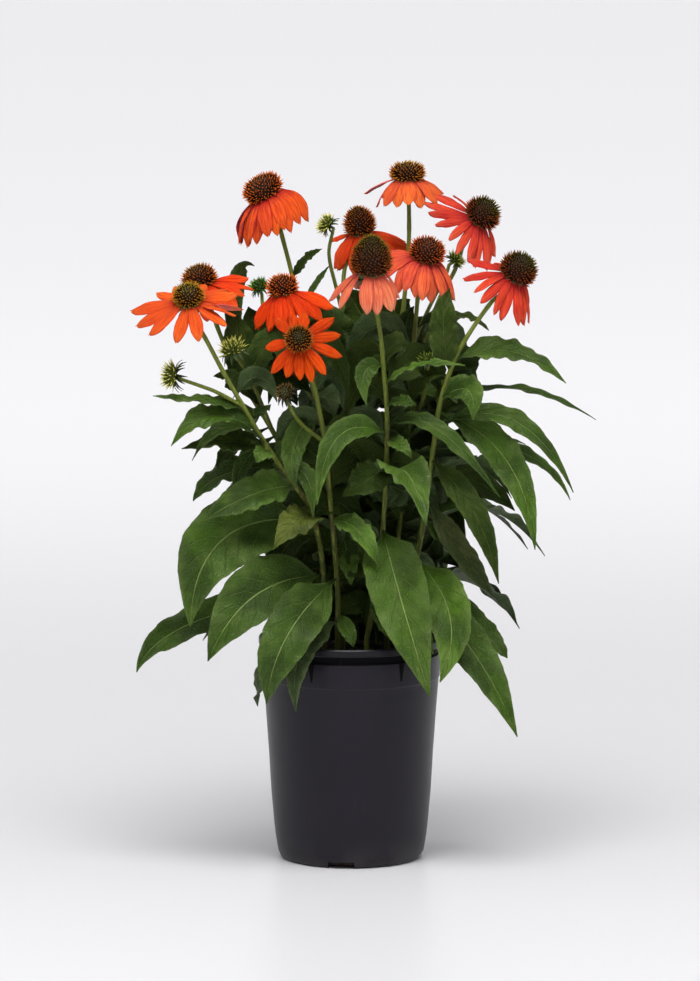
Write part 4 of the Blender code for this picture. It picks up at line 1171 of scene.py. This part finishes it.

# Seen from the front: stem, height of the root on it, middle, tip, width, how far the face turns from up
# towards the viewer (degrees) and its tone, whose light, dark and shaded kinds paint light and shade
LEAVES = [
    ("g", 454, (12, -68, 449), (14, -76, 421), 22, 75, "m"),
    ("g", 435, (58, -68, 454), (101, -80, 457), 15, 22, "l"),
    ("g", 418, (44, -62, 422), (58, -68, 420), 15, 42, "m"),
    ("g", 398, (75, -66, 399), (132, -80, 339), 17, 45, "m"),
    ("g", 391, (-11, -84, 394), (-30, -96, 335), 27, 70, "l"),
    ("g", 385, (44, -60, 383), (54, -66, 372), 14, 48, "m"),
    ("g", 362, (15, -60, 352), (-8, -64, 338), 32, 56, "d"),
    ("g", 303, (44, -86, 250), (70, -98, 163), 52, 78, "l"),
    ("g", 248, (30, -46, 225), (38, -56, 205), 20, 60, "m"),
    ("c", 429, (-106, -68, 443), (-122, -70, 446), 20, 42, "d"),
    ("c", 418, (-134, -88, 426), (-175, -98, 432), 17, 24, "m"),
    ("c", 395, (-123, -86, 413), (-159, -96, 387), 26, 42, "m"),
    ("c", 385, (-110, -98, 404), (-140, -108, 376), 16, 32, "d"),
    ("c", 383, (-109, -76, 388), (-150, -84, 383), 27, 36, "d"),
    ("c", 378, (-79, -82, 378), (-84, -90, 372), 16, 60, "m"),
    ("c", 361, (-40, -72, 357), (-34, -80, 321), 17, 50, "m"),
    ("c", 346, (-88, -78, 341), (-131, -92, 320), 34, 55, "m"),
    ("c", 314, (-47, -74, 317), (-69, -84, 293), 32, 45, "y"),
    ("c", 260, (-86, -84, 251), (-127, -100, 195), 54, 70, "m"),
    ("e", 313, (6, -72, 308), (25, -84, 278), 26, 42, "l"),
    ("e", 259, (-56, -92, 218), (-75, -104, 158), 45, 78, "m"),
    ("e", 226, (-2, -52, 213), (2, -60, 201), 14, 70, "m"),
    ("e", 219, (-44, -92, 203), (-49, -106, 151), 26, 70, "p"),
    ("b", 452, (-103, 20, 520), (-87, 34, 533), 16, 60, "d"),
    ("b", 409, (-98, -10, 461), (-102, -4, 495), 32, 70, "d"),
    ("b", 395, (-106, -44, 377), (-119, -50, 361), 16, 30, "d"),
    ("b", 387, (-95, -56, 367), (-102, -64, 337), 15, 60, "m"),
    ("b", 358, (-110, -34, 354), (-141, -40, 330), 28, 38, "m"),
    ("b", 309, (-115, -56, 297), (-143, -80, 223), 68, 72, "m"),
    ("d", 423, (-74, -10, 467), (-92, -6, 501), 48, 62, "d"),
    ("d", 412, (-51, -72, 384), (-48, -84, 348), 22, 80, "m"),
    ("d", 311, (-2, -70, 281), (2, -76, 248), 26, 80, "m"),
    ("d", 236, (-79, -70, 182), (-97, -90, 134), 24, 50, "p"),
    ("a", 524, (-40, 14, 541), (-26, 10, 551), 18, 38, "d"),
    ("a", 495, (-31, 28, 518), (-19, 32, 534), 9, 30, "m"),
    ("a", 241, (-138, -60, 224), (-191, -76, 181), 32, 60, "m"),
    ("k", 455, (141, -50, 466), (191, -56, 438), 25, 36, "m"),
    ("k", 446, (82, -22, 485), (88, -24, 519), 26, 72, "d"),
    ("k", 433, (101, -20, 438), (109, -14, 448), 26, 60, "d"),
    ("k", 422, (104, -58, 432), (108, -64, 406), 26, 70, "m"),
    ("k", 420, (149, -20, 428), (219, -24, 401), 12, 18, "m"),
    ("k", 409, (138, -44, 368), (164, -60, 289), 44, 60, "l"),
    ("k", 398, (146, -48, 403), (198, -56, 340), 21, 50, "m"),
    ("k", 384, (153, -26, 372), (196, -34, 330), 14, 40, "m"),
    ("k", 365, (109, -74, 325), (131, -88, 263), 28, 62, "d"),
    ("k", 329, (101, -50, 282), (127, -58, 247), 30, 62, "b"),
    ("k", 311, (93, -40, 289), (117, -48, 270), 18, 40, "m"),
    ("k", 274, (88, -80, 232), (79, -94, 175), 39, 76, "l"),
    ("k", 254, (112, -30, 214), (140, -42, 188), 28, 50, "m"),
    ("k", 247, (106, -66, 202), (148, -90, 125), 38, 62, "m"),
    ("i", 479, (94, 22, 489), (124, 22, 476), 26, 22, "d"),
    ("i", 441, (49, 34, 473), (57, 40, 496), 32, 66, "d"),
    ("i", 421, (89, -14, 429), (114, -20, 433), 22, 35, "m"),
    ("i", 414, (80, 16, 416), (105, 18, 403), 32, 42, "d"),
    ("i", 353, (104, 26, 342), (148, 30, 311), 42, 62, "d"),
    ("j", 403, (113, 20, 406), (161, 20, 396), 12, 15, "m"),
    ("j", 376, (111, 14, 383), (157, 12, 374), 12, 15, "d"),
    ("j", 345, (80, -10, 334), (103, -16, 291), 32, 52, "d"),
    ("h", 429, (15, 72, 475), (-5, 76, 507), 58, 62, "d"),
    ("h", 418, (41, 78, 470), (54, 84, 497), 46, 66, "d"),
    ("h", 303, (46, -14, 290), (59, -22, 262), 22, 50, "m"),
    ("f", 409, (-19, 50, 464), (-35, 44, 508), 52, 62, "d"),
]

# Of the back and the inside: stem, then height on it and compass angle of each (90 is the back)
BACK_LEAVES = {
    "a": [(222, 120), (240, 170), (262, 100), (300, 130), (345, 165), (375, 110), (400, 60), (430, 150)],
    "b": [(226, 195), (262, 150), (300, 180), (345, 110)],
    "d": [(378, 235)],
    "f": [(224, 80), (250, 130), (285, 40), (325, 100), (365, 150), (405, 30), (440, 100), (470, 60)],
    "g": [(228, 300), (270, 270), (345, 290)],
    "h": [(226, 60), (240, 20), (262, 100), (345, 70), (385, 20), (440, 60)],
    "i": [(345, 20), (380, 350)],
    "j": [(224, 30), (258, 70), (300, 10), (345, 50), (385, 80)],
    "k": [(300, 10), (345, 20)],
}

# Blades narrower than the plain leaf that stands for them, by stem and height
SLIMMER = {
    ("b", 309): 0.92, ("k", 409): 0.68, ("k", 365): 0.82, ("i", 353): 0.8, ("k", 329): 0.7, ("a", 524): 0.6,
    ("a", 495): 0.7, ("e", 313): 0.85, ("g", 391): 0.85, ("i", 441): 0.72, ("i", 479): 0.75, ("g", 454): 0.8,
    ("k", 398): 0.9,
}

# Colour of the blade and of its veins by tone: mid; dark and shaded, darker copies of the mid green that
# paint shade; light, a lighter copy that paints light; then pale, yellow and brown
LEAF_TONES = {
    "m": ((0.053, 0.122, 0.005), (0.24, 0.34, 0.09)),
    "d": ((0.032, 0.056, 0.007), (0.11, 0.15, 0.035)),
    "l": ((0.078, 0.18, 0.008), (0.3, 0.42, 0.11)),
    "p": ((0.075, 0.12, 0.035), (0.22, 0.28, 0.12)),
    "y": ((0.1, 0.135, 0.012), (0.26, 0.29, 0.07)),
    "b": ((0.045, 0.062, 0.012), (0.13, 0.15, 0.045)),
    "s": ((0.034, 0.052, 0.006), (0.08, 0.11, 0.025)),
}
# The painted-shade tones get less shine
PAINTED_SHADE_TONES = "ds"
UNDERSIDE = ((0.085, 0.13, 0.045), (0.18, 0.24, 0.1))
DARKEST = (0.012, 0.028, 0.003)

full_blade = flat_blade(10, 56)
small_blade = flat_blade(8, 20)


def leaf_frame(root, middle, tip, roll, face, t):
    """Places, sides and normals along a leaf's midrib, on the curve through its middle."""
    place, along = arched(root, 2 * middle - (root + tip) / 2, tip, t)
    facing = np.array([0, 0, 1]) * math.cos(roll) + face * math.sin(roll)
    side = unit(np.cross(along, facing))
    return place, side, np.cross(side, along)


def leaf_width(t):
    """Half width of a leaf as a share of its widest, with a narrow stalk and a long tip."""
    return (t / 0.4) ** 0.6 * ((1 - t) / 0.6) ** 0.9


def leaf_rows(width):
    """How many rows the plain leaf of this width has."""
    return 7 if width > 44 else 5 if width > 20 else 4


def leaf_edges(root, middle, tip, width, roll, face, seed):
    """Points on both edges of the plain leaf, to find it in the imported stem."""
    rows = leaf_rows(width)
    steps = np.arange(1, rows)
    t = (steps + 0.02) / rows
    place, side, normal = leaf_frame(root, middle, tip, roll, face, t)
    half = np.maximum(1.1, width / 2 * leaf_width(t) * (1 + 0.09 * (-1.0) ** steps))
    wave = 0.1 * width * np.sin(math.pi * t)
    edges = []
    for way, phase in ((-1, 0), (1, 2)):
        lift = 0.22 * half + wave * np.sin(2.1 * steps + seed + phase)
        edges.append(place + way * side * half[:, None] + normal * lift[:, None])
    return np.concatenate(edges)


def leaf_shape(blade, root, middle, tip, width, roll, face, seed, chance):
    """Points of one leaf: a narrow stalk, a waved toothed blade folded along its rib and a long tip."""
    _, u, t = blade
    place, side, normal = leaf_frame(root, middle, tip, roll, face, t)
    spread = np.abs(u)
    belly = np.sin(math.pi * t)
    share = np.clip((t - 0.02) / 0.2, 0, 1)
    share = share**2 * (3 - 2 * share)
    full = width / 2 * leaf_width(t) * (1 - 0.3 * np.clip((t - 0.68) / 0.32, 0, 1))
    half = np.maximum(0.25, 1.0 * (1 - share) + full * share)
    slight = min(1.0, 30 / width)
    ripple = chance.uniform(0, 6.3)

    def waves(count, start, off):
        return np.sin(t * count + ripple * start + np.where(u < 0, 0.0, off))

    fold = 0.36 * half * spread**0.9 - 0.07 * half * spread**2
    phase = 2.1 * leaf_rows(width) * t + seed + np.where(u < 0, 0.0, 2.0)
    bow = 0.1 * width * belly * np.sin(phase) * spread**1.5
    margin = 0.07 * slight * width * waves(24, 1, 2.4) * belly * spread**3
    crimp = 0.06 * slight * width * waves(47, 2, 1.3) * belly * spread**4
    quilt = 0.4 * np.abs(np.sin(math.pi * (t * SIDE_VEINS - spread * VEIN_SLANT)))
    quilt = quilt * share * np.sin(math.pi * np.clip(spread, 0, 1))
    gutter = 0.9 * spread * (1 - share)
    lift = fold + bow + margin + crimp + quilt + gutter
    teeth = 0.055 * slight * full * ((t * 14 + 0.15 * seed) % 1.0) ** 1.6 * share
    lobes = 0.03 * slight * full * waves(38, 1, 2.0) * share
    flat = u * half + np.sign(u) * (teeth + lobes) * spread**6
    return (place + side * flat[:, None] + normal * lift[:, None]) * MM


# The face of a leaf: pale midrib, side veins that run forward to the edge with painted shade along them,
# and a fine rough mesh between
leaf_face = Effect("leaf_face", ("Blade", "Vein"), ("Relief", "Dull"))
blade, pale = leaf_face.given["Blade"], leaf_face.given["Vein"]
wide, along, _ = leaf_face.on_blade()
wide = leaf_face.sum("ABSOLUTE", leaf_face.sum("MULTIPLY_ADD", wide, 2.0, -1.0))
spot = leaf_face.spot()
rib_width = leaf_face.sum("MULTIPLY_ADD", along, 0.03, 0.028)
rib = leaf_face.ramp(leaf_face.sum("DIVIDE", wide, rib_width), 1.0, 0.35)
slanted = leaf_face.sum("SUBTRACT", leaf_face.times(along, SIDE_VEINS), leaf_face.times(wide, VEIN_SLANT))
slanted = leaf_face.sum("ADD", slanted, leaf_face.times(leaf_face.noise(spot, 90.0, 2.0), 0.5))
cycle = leaf_face.off(leaf_face.sum("FRACT", slanted), 0.5)
vein = leaf_face.times(leaf_face.ramp(cycle, 0.44, 0.5), leaf_face.ramp(wide, 1.0, 0.5))
web = leaf_face.node("TexVoronoi", {"feature": "DISTANCE_TO_EDGE"}, Vector=spot, Scale=330.0)
web = leaf_face.ramp(web.outputs["Distance"], 0.12, 0.0)
mottle = leaf_face.noise(spot, 55.0, 4.0)
lighter = leaf_face.mix(0.25, blade, pale)
deep = leaf_face.mix(0.7, blade, (0.01, 0.026, 0.003))
colour = leaf_face.laid_over(
    leaf_face.mix(leaf_face.ramp(mottle, 0.35, 0.65), blade, lighter),
    (leaf_face.ramp(leaf_face.noise(spot, 26.0, 2.0), 0.58, 0.38), 0.9, deep),
    (leaf_face.ramp(along, 0.4, 0.05), 0.5, deep),
    (leaf_face.ramp(wide, 0.6, 1.0), 0.2, pale),
    (leaf_face.tag("own"), 0.42, DARKEST),
    (web, 0.14, pale),
    # Painted shade: darker bands along the sunken side veins
    (leaf_face.ramp(cycle, 0.3, 0.42), 0.16, deep),
    (vein, 0.3, pale),
    (rib, 0.95, pale))
relief = leaf_face.times(leaf_face.noise(spot, 800.0, 2.0), 0.22)
for sunk, depth in ((rib, -1.0), (vein, -0.55), (web, -0.22)):
    relief = leaf_face.sum("MULTIPLY_ADD", sunk, depth, relief)
leaf_face.put(colour, leaf_face.gives["Colour"])
leaf_face.put(relief, leaf_face.gives["Relief"])
leaf_face.put(leaf_face.sum("MULTIPLY_ADD", mottle, 0.2, 0.34), leaf_face.gives["Dull"])


def leaf_material(name, blade, vein, gloss):
    """A leaf's material from the colour of its blade and of its veins, and how much it shines."""
    leaf = Finish(name, Specular_IOR_Level=gloss)
    face = leaf.face(leaf_face, Blade=blade, Vein=vein)
    leaf.give(Base_Color=face["Colour"], Roughness=face["Dull"])
    leaf.bump(face["Relief"], 1.0, 0.0018)
    return leaf.material


leaf_materials = {
    tone: leaf_material("leaf_" + tone, *colours, 0.08 if tone in PAINTED_SHADE_TONES else 0.2)
    for tone, colours in LEAF_TONES.items()
}
underside = leaf_material("leaf_underside", *UNDERSIDE, 0.15)

stem_trees = {}
for key in STEMS:
    corners = points_of(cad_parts["stem_" + key].data) / MM
    found = KDTree(len(corners))
    for number, corner in enumerate(corners):
        found.insert(corner, number)
    found.balance()
    stem_trees[key] = found

bends = sorted(
    ((middle, tip) for middle in MIDDLE_SHIFTS for tip in TIP_SHIFTS),
    key=lambda bend: abs(bend[0]) + abs(bend[1]),
)


def found_leaf(key, root, middle, tip, width, roll, face, seed):
    """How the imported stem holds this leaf: its middle, tip and width after it was bent clear or made less."""
    back = np.array([0, 1, -VIEW_SLOPE])
    best = (FOUND_WITHIN, middle, tip, width)
    for size in SIZES:
        for middle_shift, tip_shift in bends:
            new_tip = root + (tip - root) * size + back * tip_shift
            if stem_trees[key].find(new_tip)[2] > FOUND_WITHIN:
                continue
            new_middle = root + (middle - root) * size + back * middle_shift
            edges = leaf_edges(root, new_middle, new_tip, width * size, roll, face, seed)
            away = np.median([stem_trees[key].find(edge)[2] for edge in edges])
            if away < best[0]:
                best = (away, new_middle, new_tip, width * size)
    return best[1:]


def back_leaf(root, z, angle):
    """Middle, tip, width and facing of a leaf of the back: long and low at the foot, short above."""
    away = np.array([math.cos(math.radians(angle)), math.sin(math.radians(angle)), 0])
    up = np.array([0, 0, 1])
    length = 135 - 0.2 * (z - 200)
    middle = root + away * 0.5 * length + up * 0.16 * length
    tip = root + away * 0.98 * length - up * 0.22 * length
    return middle, tip, 0.38 * length, away


viewer = np.array([0, -1, 0])
every_leaf = []
for key, z, middle, tip, width, roll, tone in LEAVES:
    root = np.array(at_height(paths[key], z))
    every_leaf.append((key, z, root, np.array(middle), np.array(tip), width, roll, viewer, tone))
for key, places in BACK_LEAVES.items():
    for z, angle in places:
        root = np.array(at_height(paths[key], z))
        middle, tip, width, away = back_leaf(root, z, angle)
        # Painted shade: low leaves at the back take the shaded tone, the others the dark or mid tone by height
        tone = "s" if 150 > angle > 30 and z < 300 else "d" if (z // 10) % 2 else "m"
        every_leaf.append((key, z, root, middle, tip, width, BACK_ROLL, away, tone))

grown = {key: [] for key in STEMS}
for number, (key, z, root, middle, tip, width, roll, face, tone) in enumerate(every_leaf):
    turn = math.radians(roll)
    middle, tip, width = found_leaf(key, root, middle, tip, width, turn, face, number)
    width *= SLIMMER.get((key, z), 1.0)
    chance = random.Random("leaf %d" % number)
    shape = leaf_shape(full_blade, root, middle, tip, width, turn, face, number, chance)
    grown[key].append((tone, full_blade, shape, chance.random()))

# Leaves that fill the clump from inside, turned to the front and the back, that no view shows whole, in
# the shaded and dark tones that paint the shade inside the clump
INNER_STEMS = {
    "a": 20, "b": 12, "c": 14, "d": 18, "e": 18, "f": 16, "g": 18, "h": 18, "i": 16, "j": 12, "k": 9,
}
INNER_HALF = 118
INNER_FOOT = 208
INNER_RISE = 262
INNER_LOWEST = 198
INNER_TO_FRONT = 0.65
chance = random.Random(11)
for key, count in INNER_STEMS.items():
    for number in range(count):
        z = INNER_FOOT + (number + chance.random()) * INNER_RISE / count
        root = np.array(at_height(paths[key], z))
        angle = GOLDEN * number * 1.7 + ord(key) + chance.uniform(-0.4, 0.4)
        away = np.array([math.cos(angle), 0.25 + 0.5 * abs(math.sin(angle)), 0])
        long = chance.uniform(50, 82)
        rise = chance.uniform(-0.1, 0.35)
        middle = root + away * 0.45 * long + np.array([0, 0, rise * long])
        tip = root + away * 0.8 * long + np.array([0, 0, (rise - chance.uniform(0.3, 0.75)) * long])
        width = long * chance.uniform(0.36, 0.52)
        face = viewer if chance.random() < INNER_TO_FRONT else -viewer
        turn = math.radians(chance.uniform(45, 80))
        # Painted shade: mostly the shaded tone, sometimes the dark one
        tone = chance.choice("sssd")
        if abs(tip[0]) > INNER_HALF:
            continue
        tip[2] = max(tip[2], INNER_LOWEST)
        shape = leaf_shape(small_blade, root, middle, tip, width, turn, face, number, chance)
        grown[key].append((tone, small_blade, shape, chance.random()))

for key, leaves in grown.items():
    sets = []
    for tone in LEAF_TONES:
        for blade in (full_blade, small_blade):
            mine = [leaf[2:] for leaf in leaves if leaf[0] == tone and leaf[1] is blade]
            if mine:
                tags = [np.full(len(blade[1]), own) for _, own in mine]
                sheet = gathered("leaves", blade[0], [shape for shape, _ in mine], {"own": tags})
                thickened(sheet, LEAF_THICK, leaf_materials[tone], underside)
                sets.append(sheet)
    foliage = joined(sets, "leaves_" + key)
    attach(foliage, "root")
    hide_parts("stem_" + key)

# Studio
# A plain pale floor all round with soft light from above and from both sides, more of it spread over the
# floor in front, behind and at the sides, and the camera at its height and distance.
FLOOR_HALF = 30.0
CAMERA_PLACE = (-0.0009, -6.0, 1.19)
CAMERA_DIP = 8.12066
CAMERA_LENS = 247.32

# Each light: name, place, point it looks at, width and length, power and how far its light fans (degrees)
LIGHTS = [
    ("overhead_light", (-0.05, -1.0, 2.3), (0, -0.05, 0.2), (1.6, 1.1), 50, 180),
    ("left_strip", (-3.4, 0.6, 1.9), (0, 0, 0.3), (1.2, 1.8), 9, 180),
    ("right_strip", (3.4, 0.6, 1.9), (0, 0, 0.3), (1.2, 1.8), 8, 180),
    ("back_wash", (0, 7.8, 3.2), (0, 7.81, 0), (28, 12.5), 930, 70),
    ("front_wash", (0, -8.2, 3.2), (0, -8.19, 0), (28, 12.0), 870, 70),
    ("left_wash", (-7.7, -0.35, 3.2), (-7.7, -0.34, 0), (12.0, 3.7), 115, 70),
    ("right_wash", (7.7, -0.35, 3.2), (7.7, -0.34, 0), (12.0, 3.7), 115, 70),
]

bpy.ops.mesh.primitive_plane_add(size=2 * FLOOR_HALF, location=(0, 0, 0))
floor = bpy.context.object
floor.name = "studio_floor"
paper = Finish("floor_paper", Base_Color=(0.86, 0.853, 0.872), Roughness=0.32, Specular_IOR_Level=0.5)
floor.data.materials.append(paper.material)
floor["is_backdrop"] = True

for name, place, aim, size, power, fan in LIGHTS:
    bpy.ops.object.light_add(type="AREA", location=place)
    lamp = bpy.context.object
    lamp.name = name
    lamp.data.shape = "RECTANGLE"
    lamp.data.size, lamp.data.size_y = size
    lamp.data.energy = power
    lamp.data.spread = math.radians(fan)
    lamp.visible_camera = False
    lamp.rotation_euler = (Vector(aim) - Vector(place)).to_track_quat("-Z", "Y").to_euler()

world = bpy.data.worlds.new("studio_air")
bpy.context.scene.world = world
world.use_nodes = True
air = world.node_tree.nodes["Background"]
air.inputs["Color"].default_value = (0.94, 0.935, 0.96, 1)
air.inputs["Strength"].default_value = 0.43

bpy.ops.object.camera_add(location=CAMERA_PLACE, rotation=(math.radians(90 - CAMERA_DIP), 0, 0))
camera = bpy.context.object
camera.name = "photo_camera"
camera.data.lens = CAMERA_LENS
camera.data.sensor_width = 36
camera.data.clip_end = 100
bpy.context.scene.camera = camera
bpy.context.scene.view_settings.view_transform = "Standard"

low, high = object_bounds()
